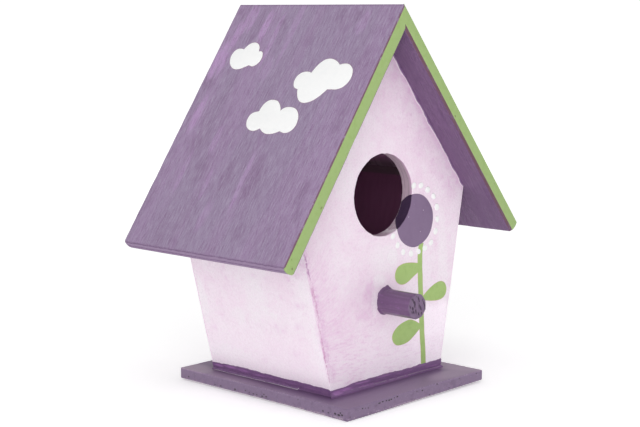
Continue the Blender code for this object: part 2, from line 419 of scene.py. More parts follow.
def gable_board(name, node, outer_y, inwards, hole_radius, paint):
    """A gable wall as loops of points that run from its outline in to the entry hole, or to its middle."""
    radius = WALL_ARRIS
    rim = 0.30 * MM
    outer = gable_outline(0)
    inner = gable_outline(GABLE_THICKNESS / abs(WALLS["right"].normal.x))
    lengths = [math.dist(a, b) for a, b in zip(outer, outer[1:] + outer[:1])]
    counts = [round(length / (1.7 * MM)) for length in lengths]
    outer_points = spaced_round(outer, counts)
    inner_points = spaced_round(inner, counts)
    centre = Vector((0, ENTRY.z))
    seed = 31.0 if inwards > 0 else 37.0
    quarter = [math.radians(a) for a in (0, 22.5, 45, 67.5, 90)]
    edge_steps = [(radius * (1 - math.cos(a)), radius * (1 - math.sin(a))) for a in quarter]
    rim_steps = [(rim * (1 - math.sin(a)), rim * (1 - math.cos(a))) for a in quarter]
    spokes = 26
    far = GABLE_THICKNESS

    def spot(i, from_edge, towards_hole, depth, hole_gap=0.0):
        """A point on spoke i: from_edge inwards from the outline, or a share of the way to the hole."""
        share = depth / far
        a, b = Vector(outer_points[i]), Vector(inner_points[i])
        edge = a + (b - a) * share
        way = centre - edge
        reach = hole_reach(math.atan2(-way.y, -way.x)) if hole_radius else 0
        start = edge + way.normalized() * from_edge
        end = centre - way.normalized() * (reach + hole_gap)
        at = start + (end - start) * towards_hole
        bump = 0.05 * MM * lumps((at.x, at.y, depth), 60, seed) * ease(towards_hole, 0, 0.1)
        y = outer_y + inwards * (depth + bump * (1 - ease(towards_hole, 0.9, 1)))
        return Vector((at.x, y, at.y))

    rings = []

    def ring(*settings):
        rings.append([spot(i, *settings) for i in range(len(outer_points))])

    for inset, depth in edge_steps:
        ring(inset, 0, depth)
    for k in range(1, spokes):
        ring(radius, k / spokes, 0, rim)
    if hole_radius:
        for gap, depth in rim_steps:
            ring(0, 1, depth, gap)
        for k in range(1, 5):
            ring(0, 1, rim + (far - 2 * rim) * k / 5, 0)
        for gap, depth in reversed(rim_steps):
            ring(0, 1, far - depth, gap)
    else:
        ring(radius, 0.995, 0, 0)
    for k in range(spokes - 1, 0, -1) if hole_radius else []:
        ring(radius, k / spokes, far, rim)
    if not hole_radius:
        front_rings = list(rings)
        rings.clear()
        ring(radius, 0.995, far, 0)
        for k in range(spokes - 1, 0, -1):
            ring(radius, k / spokes, far, 0)
        rings.append([spot(i, 0, 0, far) for i in range(len(outer_points))])
        back_rings = list(rings)
        mesh = tubes_mesh(name, [back_rings + front_rings])
    else:
        ring(0, 0, far)
        mesh = tubes_mesh(name, [rings], True)

    def which_paint(centre):
        if abs(centre.y - outer_y) > far - 0.1 * MM:
            return 1
        in_bore = hole_radius and (centre - ENTRY).xz.length < hole_rim(centre.xz) + 0.2 * rim
        return 2 if in_bore and abs(centre.y - outer_y) > 0.5 * rim else 0

    return finished(mesh, paint, [node], which_paint=which_paint)


# ---- Paint laid on the surfaces ---------------------------------------------------------------------


def through(points, closed=True, steps=6):
    """A smooth line through points (x, y). A point marked with a third value, True, is a sharp corner."""
    flat = [Vector(p[:2]) for p in points]
    corner = [len(p) > 2 for p in points]
    count = len(flat)
    line = []
    for i in range(count if closed else count - 1):
        a, b = flat[i], flat[(i + 1) % count]
        before = a if corner[i] or (not closed and i == 0) else flat[i - 1]
        last = (i + 2) % count
        after = b if corner[(i + 1) % count] or (not closed and i == count - 2) else flat[last]
        for s in range(steps):
            t = s / steps
            slope_a, slope_b = (b - before) / 2, (after - a) / 2
            line.append(
                a * (2 * t**3 - 3 * t**2 + 1)
                + slope_a * (t**3 - 2 * t**2 + t)
                + b * (3 * t**2 - 2 * t**3)
                + slope_b * (t**3 - t**2)
            )
    if not closed:
        line.append(flat[-1])
    return line


def shrunk(outline, inset):
    """An outline (list of 2-D vectors, anticlockwise) moved inwards by an inset."""
    moved = []
    for i, point in enumerate(outline):
        ahead = outline[(i + 1) % len(outline)] - outline[i - 1]
        inwards = Vector((-ahead.y, ahead.x)).normalized()
        moved.append(point + inwards * inset)
    return moved


def anticlockwise(outline):
    area = sum(a.x * b.y - a.y * b.x for a, b in zip(outline, outline[1:] + outline[:1]))
    return outline if area > 0 else outline[::-1]


def paint_layer(name, outlines, place, paint, height=0.16 * MM, sink=0.12 * MM):
    """Thick paint with a rounded rim, inside each outline. place(x, y, lift) puts a point in space."""
    points, faces = [], []
    profile = ((0.0, -sink), (0.0, 0.35 * height), (0.10 * MM, 0.8 * height), (0.28 * MM, height))
    for outline in outlines:
        outline = anticlockwise(list(outline))
        start, count = len(points), len(outline)
        for inset, lift in profile:
            for at in shrunk(outline, inset):
                uneven = 0.02 * MM * lumps((at.x, at.y, 0), 400, 1.0) if inset else 0
                points.append(place(at.x, at.y, lift + uneven))
        for r in range(len(profile) - 1):
            for i in range(count):
                j = (i + 1) % count
                here, there = start + r * count, start + (r + 1) * count
                faces.append((here + i, here + j, there + j, there + i))
        for first, inset in ((start, 0), (start + (len(profile) - 1) * count, profile[-1][0])):
            rim = [at.to_3d() for at in shrunk(outline, inset)]
            faces += [tuple(first + i for i in corners) for corners in tessellate_polygon([rim])]
    return finished(mesh_of(name, points, faces), paint)


def on_left_roof(y, down, lift):
    return ROOFS["left"].point(down, y, -lift)


def on_front(x, z, lift):
    return Vector((x, FRONT_Y - lift, z))


# Each cloud's outline: (distance back, distance down the slope from the ridge), in mm. True marks a notch.
CLOUDS = {
    "cloud_small": [
        (31.7, 21.3, True), (30.5, 19.5), (29.0, 18.4), (27.0, 18.0), (24.8, 18.6), (23.2, 20.0),
        (22.3, 22.1, True), (20.8, 22.0), (19.5, 23.0), (18.8, 25.0), (19.2, 27.0), (20.5, 28.4),
        (22.2, 29.0),
        (24.3, 28.5, True), (26.5, 29.5), (28.5, 30.3), (30.5, 30.6), (33.0, 30.2), (35.0, 29.0),
        (36.6, 27.2),
        (37.4, 24.7), (36.8, 22.4), (35.5, 21.3), (33.5, 21.0),
    ],
    "cloud_long": [
        (-12.9, 30.9, True), (-13.6, 29.0), (-15.0, 26.7), (-17.0, 25.0), (-19.5, 24.4), (-22.0, 24.8),
        (-24.2, 25.7), (-26.0, 26.9, True), (-27.8, 26.4), (-30.0, 26.4), (-32.0, 27.2), (-34.0, 29.1),
        (-34.9, 32.0), (-34.3, 34.6), (-32.5, 36.6), (-30.0, 37.5), (-27.5, 37.6), (-25.3, 37.7, True),
        (-24.0, 39.5), (-22.0, 41.6), (-19.5, 43.2), (-16.7, 44.0), (-14.0, 43.6), (-12.0, 42.2),
        (-10.5, 40.2),
        (-9.5, 38.2, True), (-7.8, 37.8), (-6.3, 36.4), (-5.7, 34.2), (-6.2, 32.4), (-7.6, 31.1),
        (-9.5, 30.5),
        (-11.5, 30.5),
    ],
    "cloud_low": [
        (5.8, 48.9, True), (5.6, 47.3), (4.8, 45.4), (3.3, 44.0), (1.2, 43.5), (-1.5, 43.8), (-3.5, 45.0),
        (-5.0, 46.6), (-5.8, 48.0, True), (-6.8, 47.0), (-8.5, 46.3), (-11.0, 46.2), (-13.5, 46.8),
        (-15.5, 48.2), (-17.0, 50.3), (-17.7, 53.0), (-17.2, 55.2), (-15.5, 56.8), (-13.2, 57.3),
        (-10.5, 56.7, True), (-8.5, 57.6), (-6.0, 58.2), (-3.5, 58.2), (-1.5, 57.6), (0.9, 56.2, True),
        (2.5, 57.1), (4.5, 57.5), (6.8, 57.0), (8.8, 55.7), (10.1, 53.4), (9.9, 51.0), (8.5, 49.6),
    ],
}

# The painted flower on the front wall: (across, up) in mm.
FLOWER_CENTRE = Vector((17.1, 65.8)) * MM
FLOWER_RADIUS = 10.5 * MM
DOTS = [
    (16.9, 79.5), (21.0, 79.1), (24.8, 77.0), (28.2, 74.0), (30.0, 69.5), (30.1, 64.6), (29.0, 59.9),
    (26.2, 55.8),
    (22.6, 54.1), (18.9, 53.2), (14.6, 53.0), (10.2, 54.2), (7.1, 57.3), (4.6, 61.1),
]
DOT_RADIUS = 1.24 * MM
STEM = [
    (20.6, 56.2), (19.8, 52.0), (19.7, 43.6), (19.8, 36.8), (20.0, 28.4), (20.2, 20.3), (20.6, 13.7),
    (20.7, 6.4),
]
STEM_WIDTH = 2.6 * MM
LEAVES = {
    "leaf_upper": [
        (20.0, 48.2, True), (18.0, 48.7), (14.0, 49.4), (10.0, 49.5), (7.0, 48.5), (5.6, 46.5), (5.5, 44.4),
        (6.5, 42.7), (8.5, 41.6), (10.8, 41.5), (13.2, 42.3), (16.0, 43.8), (20.0, 45.7, True),
    ],
    "leaf_right": [
        (20.6, 34.6, True), (23.0, 36.3), (26.0, 38.0), (29.0, 39.1), (31.7, 39.4), (33.9, 38.4),
        (34.9, 36.3),
        (34.4, 34.0), (32.5, 32.5), (29.5, 32.1), (26.0, 32.4), (23.0, 33.0), (20.6, 33.5, True),
    ],
    "leaf_lower": [
        (19.8, 23.6, True), (18.1, 24.7), (16.0, 25.9), (13.3, 26.8), (10.0, 26.5), (6.5, 25.3),
        (4.0, 23.4), (3.1, 21.4),
        (3.8, 19.3), (5.7, 17.9), (8.5, 17.6), (12.0, 18.2), (15.0, 19.7), (19.8, 22.9, True),
    ],
}


def in_metres(points):
    return [(p[0] * MM, p[1] * MM, *p[2:]) for p in points]


def stain(name, outlines, place, paint):
    """The thin tinted edge that shows round a patch of paint."""
    wider = [shrunk(anticlockwise(list(outline)), -0.14 * MM) for outline in outlines]
    return paint_layer(name, wider, place, paint, 0.03 * MM)


def make_clouds(paint, edge_paint):
    outlines = []
    for name, points in CLOUDS.items():
        outlines.append(through(in_metres(points)))
        paint_layer(name, outlines[-1:], on_left_roof, paint)
    stain("cloud_edges", outlines, on_left_roof, edge_paint)


def flower_outline():
    """The flower's disc, less what falls in the entry hole."""
    entry = Vector((ENTRY.x, ENTRY.z))
    outline = []
    for i in range(180):
        angle = math.tau * i / 180
        way = Vector((math.cos(angle), math.sin(angle)))
        reach = FLOWER_RADIUS * (1 + 0.008 * math.sin(3 * angle + 1) + 0.006 * math.sin(7 * angle))
        at = FLOWER_CENTRE + way * reach
        while (at - entry).length < hole_rim(at) - 0.03 * MM:
            reach -= 0.04 * MM
            at = FLOWER_CENTRE + way * reach
        outline.append(at)
    return outline


def dot_outline(centre, radius, seed):
    return [
        centre + Vector((math.cos(a), math.sin(a))) * radius * (1 + 0.10 * math.sin(2 * a + seed))
        for a in (math.tau * i / 14 for i in range(14))
    ]


def make_flower(disc_paint, dot_paint, green, edge_paint):
    paint_layer("flower_disc", [flower_outline()], on_front, disc_paint, 0.12 * MM, 0.38 * MM)
    dots = [
        dot_outline(Vector(spot) * MM, DOT_RADIUS * (1 + 0.15 * lumps((i, i, 1), 2.3)), i)
        for i, spot in enumerate(DOTS)
    ]
    paint_layer("flower_dots", dots, on_front, dot_paint, 0.25 * MM)
    spine = through(in_metres(STEM), closed=False, steps=10)
    sides = ([], [])
    for i, at in enumerate(spine):
        half = STEM_WIDTH / 2 * (1 + 0.10 * lumps((0, 0, at.y), 260, 6))
        sides[0].append(at + Vector((half, 0)))
        sides[1].append(at - Vector((half, 0)))
    outlines = [sides[0] + sides[1][::-1]]
    paint_layer("flower_stem", outlines, on_front, green, 0.12 * MM)
    for name, points in LEAVES.items():
        outlines.append(through(in_metres(points)))
        paint_layer(name, outlines[-1:], on_front, green, 0.13 * MM)
    stain("leaf_edges", outlines, on_front, edge_paint)


def make_bore_paint(paint):
    """The part of the flower's disc that the brush carried into the entry hole, at a slant, in a darker copy
    of its purple as painted shade.
    """
    slant = Vector((0.95, -0.2))
    deepest = GABLE_THICKNESS - 0.4 * MM
    thick = 0.10 * MM
    columns = []
    for i in range(181):
        angle = math.radians(-80 + 80 * i / 180)
        way = Vector((math.cos(angle), 0, math.sin(angle)))
        rim = (ENTRY + way * ENTRY_RADIUS).xz
        depth = 0.0
        while depth < deepest and (rim - slant * depth - FLOWER_CENTRE).length < FLOWER_RADIUS:
            depth += 0.1 * MM
        if depth < 0.6 * MM:
            continue
        reach = hole_reach(angle)
        steps = [(0.0, -0.3 * MM), (0.0, thick)] + [(k / 8, thick) for k in range(1, 8)]
        steps += [(1.0, 0.6 * thick), (1.0, -0.3 * MM)]
        columns.append([
            ENTRY + way * (reach - lift) + Vector((0, 0.02 * MM + depth * share, 0)) for share, lift in steps
        ])
    mesh = tubes_mesh("flower_disc_in_hole", [columns])
    return finished(mesh, paint)


# How far short of the upper and the lower arris the green on a roof panel's front end stops, in mm.
GREEN_STOPS = {"left": (0.40, 0.25), "right": (0.0, 1.45)}


def make_green_edge(side_name, paint):
    """Green paint on a roof panel's front end, and a little over the arrises that it reaches."""
    roof = ROOFS[side_name]
    grow = 0.13 * MM
    radius = ROOF_ARRIS
    stop_short, stop_deep = GREEN_STOPS[side_name]
    core_low = Vector((0, radius + stop_short * MM))
    core_high = Vector((roof.length - radius, roof.thickness - radius - stop_deep * MM))
    steps = [core_high.x * i / 70 for i in range(71)]
    arc = [math.radians(15 * k) for k in range(1, 6)]
    across = core_high.y - core_low.y
    stations = [(Vector((u, core_low.y)), Vector((0, -1))) for u in steps]
    stations += [(Vector((core_high.x, core_low.y)), Vector((math.sin(a), -math.cos(a)))) for a in arc]
    stations += [(Vector((core_high.x, core_low.y + across * k / 8)), Vector((1, 0))) for k in range(9)]
    stations += [(core_high, Vector((math.cos(a), math.sin(a)))) for a in arc]
    stations += [(Vector((u, core_high.y)), Vector((0, 1))) for u in reversed(steps)]

    def ring(reach, y_of):
        made = []
        for i, (core, outwards) in enumerate(stations):
            at = core + outwards * reach
            at.x += eave_bulge(roof, at.x, at.y)
            along = at.x + at.y * roof.tangent * (1 - at.x / roof.length)
            made.append(roof.point(along, y_of(i), at.y))
        return made

    def lap(i):
        core = stations[i][0]
        spread = lumps((core.x, core.y, roof.side), 240, 8) + 0.5 * lumps((core.x, core.y, 0), 900, 8)
        return roof.front + radius * 0.75 + 0.22 * MM * spread

    front = roof.front
    rings = [ring(0.2 * radius, lambda i: front + radius)]
    rings.append(ring(radius - 0.05 * MM, lambda i: lap(i) + 0.02 * MM))
    rings.append(ring(radius + grow * 0.6, lap))
    rings.append(ring(radius + grow, lambda i: front + radius * 0.6))
    for a in (0, 30, 60, 90):
        out = (radius + grow) * math.cos(math.radians(a))
        back = (radius + grow) * math.sin(math.radians(a))
        rings.append(ring(out, lambda i, back=back: front + radius - back))
    mesh = tubes_mesh(f"green_edge_{side_name}", [rings])
    return finished(mesh, paint)


def house_plan(z, grow):
    """The walls' outline at a height, moved out by grow: points round the house, evenly spaced."""
    half = WALLS["right"].half_width(z) + grow
    front, back = FRONT_Y - grow, BACK_Y + grow
    corners = [(-half, front), (half, front), (half, back), (-half, back)]
    return spaced_round(corners, [110, 124, 110, 124])


# The height of the foot band's upper edge above the ground, in mm, along the front (x) and the left wall (y).
BAND_TOP_FRONT = [(-30, 6.9), (-23, 7.2), (-15, 7.7), (-1, 7.8), (12, 7.6), (20, 7.9), (31, 7.9)]
BAND_TOP_LEFT = [(-33, 7.0), (-31, 7.3), (-17, 7.6), (0, 7.7), (19, 8.2), (27, 7.8), (36, 7.5)]

# How far the bead at the walls' foot stands out, in mm.
BEAD_FRONT = [(-32, 1.5), (-22, 1.25), (-8, 1.05), (2, 0.95), (14, 0.85), (32, 0.8)]
BEAD_LEFT = [(-34, 0.7), (-31, 0.35), (-16, 0.35), (-13.5, 0.9), (0, 1.0), (20, 1.05), (37, 0.9)]


def read_off(table, at):
    """Interpolates in a table of (place, value)."""
    for (start, low), (end, high) in zip(table, table[1:]):
        if at <= end:
            return low + (high - low) * ease(at, start, end)
    return table[-1][1]


def make_foot_band(paint):
    """The band of purple paint round the foot of the walls, with its hand-painted upper edge."""
    plan = house_plan(FOOT_Z, 0)
    count = len(plan)

    def band_top(x, y):
        front = y < FRONT_Y + 0.01 * MM
        left = x < 0 and not front
        height = 7.7
        if front or left:
            height = read_off(BAND_TOP_FRONT, x / MM) if front else read_off(BAND_TOP_LEFT, y / MM)
        rough = 0.30 * lumps((x, y, 0), 240, 11) + 0.22 * lumps((x, y, 0), 700, 11)
        return (height + rough) * MM

    tops = [band_top(x, y) for x, y in plan]

    def ring(share, grow):
        made = []
        for i in range(count):
            z = FOOT_Z + (tops[i] - FOOT_Z) * share
            x, y = house_plan(z, grow)[i]
            made.append(Vector((x, y, z)))
        return made

    thick = 0.16 * MM
    rings = [ring(0, -0.3 * MM), ring(0, thick)]
    rings += [ring(k / 6, thick) for k in range(1, 6)]
    rings += [ring(0.97, 0.9 * thick), ring(1.0, 0.4 * thick), ring(1.0, -0.3 * MM)]
    mesh = tubes_mesh("foot_band", [rings], True)
    return finished(mesh, paint)


def make_foot_bead(paint):
    """The fillet of glue and paint where the walls meet the base board."""
    def ring(share, turn):
        made = []
        for i, (x, y) in enumerate(house_plan(FOOT_Z, 0)):
            front, left = y < FRONT_Y + 0.01 * MM, x < 0 and y < BACK_Y - 0.01 * MM
            proud = read_off(BEAD_FRONT, x / MM) if front else read_off(BEAD_LEFT, y / MM) if left else 0.6
            size = proud * MM * (1 + 0.22 * lumps((x, y, 0), 200, 13) + 0.18 * lumps((x, y, 0), 650, 13))
            out = size * share * math.cos(turn)
            up = size * share * math.sin(turn)
            px, py = house_plan(FOOT_Z + up, out)[i]
            made.append(Vector((px, py, FOOT_Z + up)))
        return made

    rings = [ring(1.0, math.radians(a)) for a in (-15, 10, 30, 50, 70, 95)]
    rings.append([p - Vector((0, 0, 0.2 * MM)) for p in ring(-0.4, 0)])
    mesh = tubes_mesh("foot_bead", [rings], True)
    return finished(mesh, paint)


# The torn, pale edge of the paint on the left bead, with a painted highlight along its glossy lip: (x, y,
# half thickness, height), in mm, from the back.
BEAD_EDGE = [
    (-31.5, 35.0, 0.05, 0.12), (-31.5, 30.0, 0.11, 0.12), (-31.6, 24.0, 0.08, 0.12),
    (-31.5, 16.0, 0.11, 0.12),
    (-31.5, 8.0, 0.10, 0.12), (-31.5, 0.0, 0.12, 0.12), (-31.5, -8.0, 0.12, 0.12), (-31.6, -13.2, 0.15, 0.12),
    (-31.5, -14.4, 0.15, 0.20), (-31.3, -14.9, 0.15, 0.50), (-31.1, -15.2, 0.12, 0.80),
    (-31.0, -15.3, 0.04, 0.95),
]


def front_bead_highlight():
    """Along the front, a fainter pale line on the bead's shoulder: a painted highlight."""
    table = []
    for x in range(-22, 32, 2):
        proud = 0.72 * read_off(BEAD_FRONT, x)
        thick = max(0.04, 0.085 + 0.07 * lumps((x * MM, 0, 0), 180, 45))
        table.append((x, FRONT_Y / MM - proud, thick, proud))
    return table


def make_bead_edge(name, table, paint):
    rings = []
    for (start_x, start_y, thick, up), (end_x, end_y, thick_after, _) in zip(table, table[1:]):
        start, end = Vector((start_x, start_y)), Vector((end_x, end_y))
        for k in range(6):
            t = k / 6
            at = (start + (end - start) * t) * MM
            radius = (thick + (thick_after - thick) * t) * MM * (1 + 0.3 * lumps((at.x, at.y, 0), 500, 35))
            wander = 0.10 * MM * lumps((at.x, at.y, 0), 260, 39)
            side = (end - start).normalized()
            centre = Vector((at.x + side.y * wander, at.y - side.x * wander, FOOT_Z + up * MM))
            across = Vector((side.y, -side.x, 0))
            rings.append([
                centre + across * radius * math.cos(a) + Vector((0, 0, radius * math.sin(a)))
                for a in turns(8)
            ])
    return finished(tubes_mesh(name, [rings]), paint)


def make_corner_ridges(paint):
    """Ridges of dabbed paint along the four corners, thin or missing here and there."""
    top_z = eave_corner()[1]
    rows = 120
    tubes = []
    for side in (-1, 1):
        for end_y, out_y in ((FRONT_Y, -1), (BACK_Y, 1)):
            rings = []
            for r in range(rows + 1):
                z = FOOT_Z + (top_z - FOOT_Z) * r / rows
                uneven = 0.22 * lumps((side, end_y * 50, z), 120, 17) + 0.10 * lumps((side, 0, z), 500, 17)
                thick = max(0.17, 0.20 + uneven) * MM
                sunk = 0.55 * thick
                centre = Vector((side * (WALLS["right"].half_width(z) - sunk), end_y - out_y * sunk, z))
                rings.append([centre + Vector((math.cos(a), math.sin(a), 0)) * thick for a in turns(8)])
            tubes.append(rings)
    return finished(tubes_mesh("corner_ridges", tubes), paint, (), 80)


def gable_seam(name, paint, seed, width_at, profile):
    """A strip along the top of the front and back walls. width_at(x, y, z, seed) is in mm.

    profile lists (share of the width down from the roof, how proud in mm).
    """
    corner_x = eave_corner()[0]
    rows = 170
    tubes = []
    for outer_y, out in ((FRONT_Y, -1), (BACK_Y, 1)):
        for side, roof in ((-1, ROOFS["left"]), (1, ROOFS["right"])):
            away = Vector((-roof.normal.x, 0, -roof.normal.z))
            rings = []
            for r in range(rows + 1):
                x = side * corner_x * r / rows
                z = roof.underside(x)
                width = width_at(x, outer_y, z, seed) * MM
                rings.append([
                    Vector((x, outer_y + out * proud * MM, z)) + away * width * across
                    for across, proud in profile
                ])
            tubes.append(rings)
    return finished(tubes_mesh(name, tubes), paint)


def plum_width(x, y, z, seed):
    wave = 0.35 + 0.70 * lumps((x, y, z), 140, seed) + 0.65 * lumps((x, 0, z), 330, seed)
    return max(0.10, wave)


def lilac_width(x, y, z, seed):
    return plum_width(x, y, z, 19) + 0.42 + 0.25 * lumps((x, y, z), 300, seed)


def make_gable_seams(plum, lilac):
    """Roof paint run down onto the front and back walls, over a ridge of the walls' own paint."""
    gable_seam("gable_plum_line", plum, 19, plum_width,
               ((-0.3, -0.2), (-0.3, 0.50), (0.5, 0.46), (0.9, 0.30), (1.0, -0.2)))
    gable_seam("gable_lilac_ridge", lilac, 27, lilac_width,
               ((-0.1, -0.2), (-0.1, 0.06), (0.5, 0.16), (0.8, 0.12), (1.0, -0.10)))


GRAIN_LEAN = 0.22

# Open grain on the end of the perch: (across, up, half width, half height, strength), in mm. Each dash leans
# a little to one side as it rises.
PERCH_GRAIN = [
    (-1.5, 38.9, 0.42, 1.36, 1), (-1.1, 37.9, 0.37, 0.96, 1), (-1.2, 36.7, 0.42, 1.28, 1),
    (-2.7, 36, 0.37, 0.72, 1),
    (-3.8, 37, 0.32, 0.8, 0.7), (-2.5, 34.5, 0.37, 0.64, 0.9), (-1.2, 34.6, 0.37, 1.12, 1),
    (0, 33.7, 0.37, 0.88, 1),
    (1.4, 39.4, 0.32, 0.96, 1), (1.6, 38.4, 0.32, 1.12, 1), (1.3, 37.1, 0.32, 0.8, 0.8),
    (1.6, 35.7, 0.37, 1.2, 1),
    (3.6, 38.3, 0.32, 0.96, 0.8), (3.9, 36.9, 0.37, 1.28, 1), (4, 35.3, 0.37, 1.44, 1),
    (0.9, 36.3, 0.26, 0.8, 0.5),
    (0.6, 40.1, 0.26, 0.8, 0.6), (-2.2, 39.6, 0.26, 0.72, 0.6), (1.5, 33.4, 0.32, 0.8, 0.7),
    (-3.4, 34.6, 0.26, 0.72, 0.6),
]


def grain_dent(x, z):
    """How deep the open grain is at a place on the perch's end, from 0 to 1."""
    lean = x + GRAIN_LEAN * (z - PERCH.z)
    deepest = 0.0
    for across, up, half_across, half_up, strength in PERCH_GRAIN:
        far = ((lean / MM - across) / half_across) ** 2 + ((z / MM - up) / half_up) ** 2
        deepest = max(deepest, strength * (1 - ease(far, 0.3, 1.4)))
    return deepest


def make_perch(paint):
    """The whittled dowel: a section of flats, a small broken arris, and open grain on its end."""
    around = 108
    inner = -GABLE_THICKNESS
    reach = PERCH_REACH + 0.65 * MM
    arris = 0.30 * MM
    flats = 9
    profile = [(PERCH_RADIUS, inner + (reach - arris - inner) * k / 26) for k in range(27)]
    for turn in (math.radians(a) for a in (22, 45, 67, 90)):
        profile.append((PERCH_RADIUS - arris * (1 - math.cos(turn)), reach - arris * (1 - math.sin(turn))))
    profile += [((PERCH_RADIUS - arris) * (1 - k / 24), reach) for k in range(1, 24)]
    rings = []
    for radius, out in profile:
        ring = []
        for i in range(around):
            a = math.tau * i / around
            x, z = math.cos(a) * radius, math.sin(a) * radius
            y = out
            on_flat = math.cos(math.pi / flats) / math.cos((a + 0.35) % (math.tau / flats) - math.pi / flats)
            worked = ease(out, 0, 0.6 * reach)
            grow = 1.035 + worked * 0.7 * (on_flat - 0.990)
            grow += 0.006 * lumps((x, out, z), 260, 23) + 0.004 * lumps((x, out * 0.3, z), 900, 23)
            if radius < PERCH_RADIUS - 0.5 * arris:
                y -= 0.28 * MM * grain_dent(PERCH.x + x * grow, PERCH.z + z * grow)
            ring.append(PERCH + Vector((x * grow, -y, z * grow)))
        rings.append(ring)
    return finished(tubes_mesh("perch", [rings]), paint, ["perch_dowel"])


# How far the collar of glue and paint stands out from the perch, in mm, at angles round it from its right.
COLLAR = [
    (0, 0.4), (30, 0.45), (55, 0.7), (68, 1.0), (82, 1.35), (97, 1.0), (115, 0.8), (137, 0.75),
    (149, 0.45), (158, 0.05), (170, 0.0),
    (188, 0.0), (200, 0.15), (207, 0.55), (222, 0.6), (240, 0.65), (258, 0.6), (273, 0.35), (300, 0.3),
    (330, 0.4),
    (360, 0.5),
]


def make_perch_collar(paint):
    """The lumpy collar of glue and paint where the perch enters the wall."""
    around = 120
    shares = (0.0, 0.15, 0.35, 0.55, 0.75, 0.9, 1.0)
    rings = [[] for _ in shares]
    inside = PERCH_RADIUS - 0.6 * MM
    lid, foot = [], []
    for i in range(around):
        a = math.tau * i / around
        way = Vector((math.cos(a), 0, math.sin(a)))
        size = read_off(COLLAR, math.degrees(a)) * MM + 0.12 * MM * (1 + lumps(way, 3.5, 29)) + 0.05 * MM
        for ring, share in zip(rings, shares):
            lump = 1 + 0.25 * lumps(way + Vector((0, 2 * share, 0)), 2.6, 33)
            radius = PERCH_RADIUS - 0.06 * MM + size * lump * (1 - share) ** 1.4
            out = 2.1 * size * share**0.8 - 0.1 * MM
            ring.append(PERCH + way * radius - Vector((0, out, 0)))
        lid.append(PERCH + way * inside - Vector((0, 2.1 * size - 0.1 * MM, 0)))
        foot.append(PERCH + way * inside + Vector((0, 0.2 * MM, 0)))
    mesh = tubes_mesh("perch_collar", [rings + [lid, foot]], True)
    return finished(mesh, paint)


# ---- Paints -----------------------------------------------------------------------------------------


class Value:
    """A number worked out by a paint's nodes. It adds, subtracts and multiplies as other numbers do."""

    def __init__(self, paint, socket):
        self.paint, self.socket = paint, socket

    def __add__(self, other):
        return self.paint.math("ADD", self, other)

    def __sub__(self, other):
        return self.paint.math("SUBTRACT", self, other)

    def __rsub__(self, other):
        return self.paint.math("SUBTRACT", other, self)

    def __mul__(self, other):
        return self.paint.math("MULTIPLY", self, other)

    def __neg__(self):
        return 0.0 - self

    def __abs__(self):
        return self.paint.math("ABSOLUTE", self)

    __radd__ = __add__
    __rmul__ = __mul__


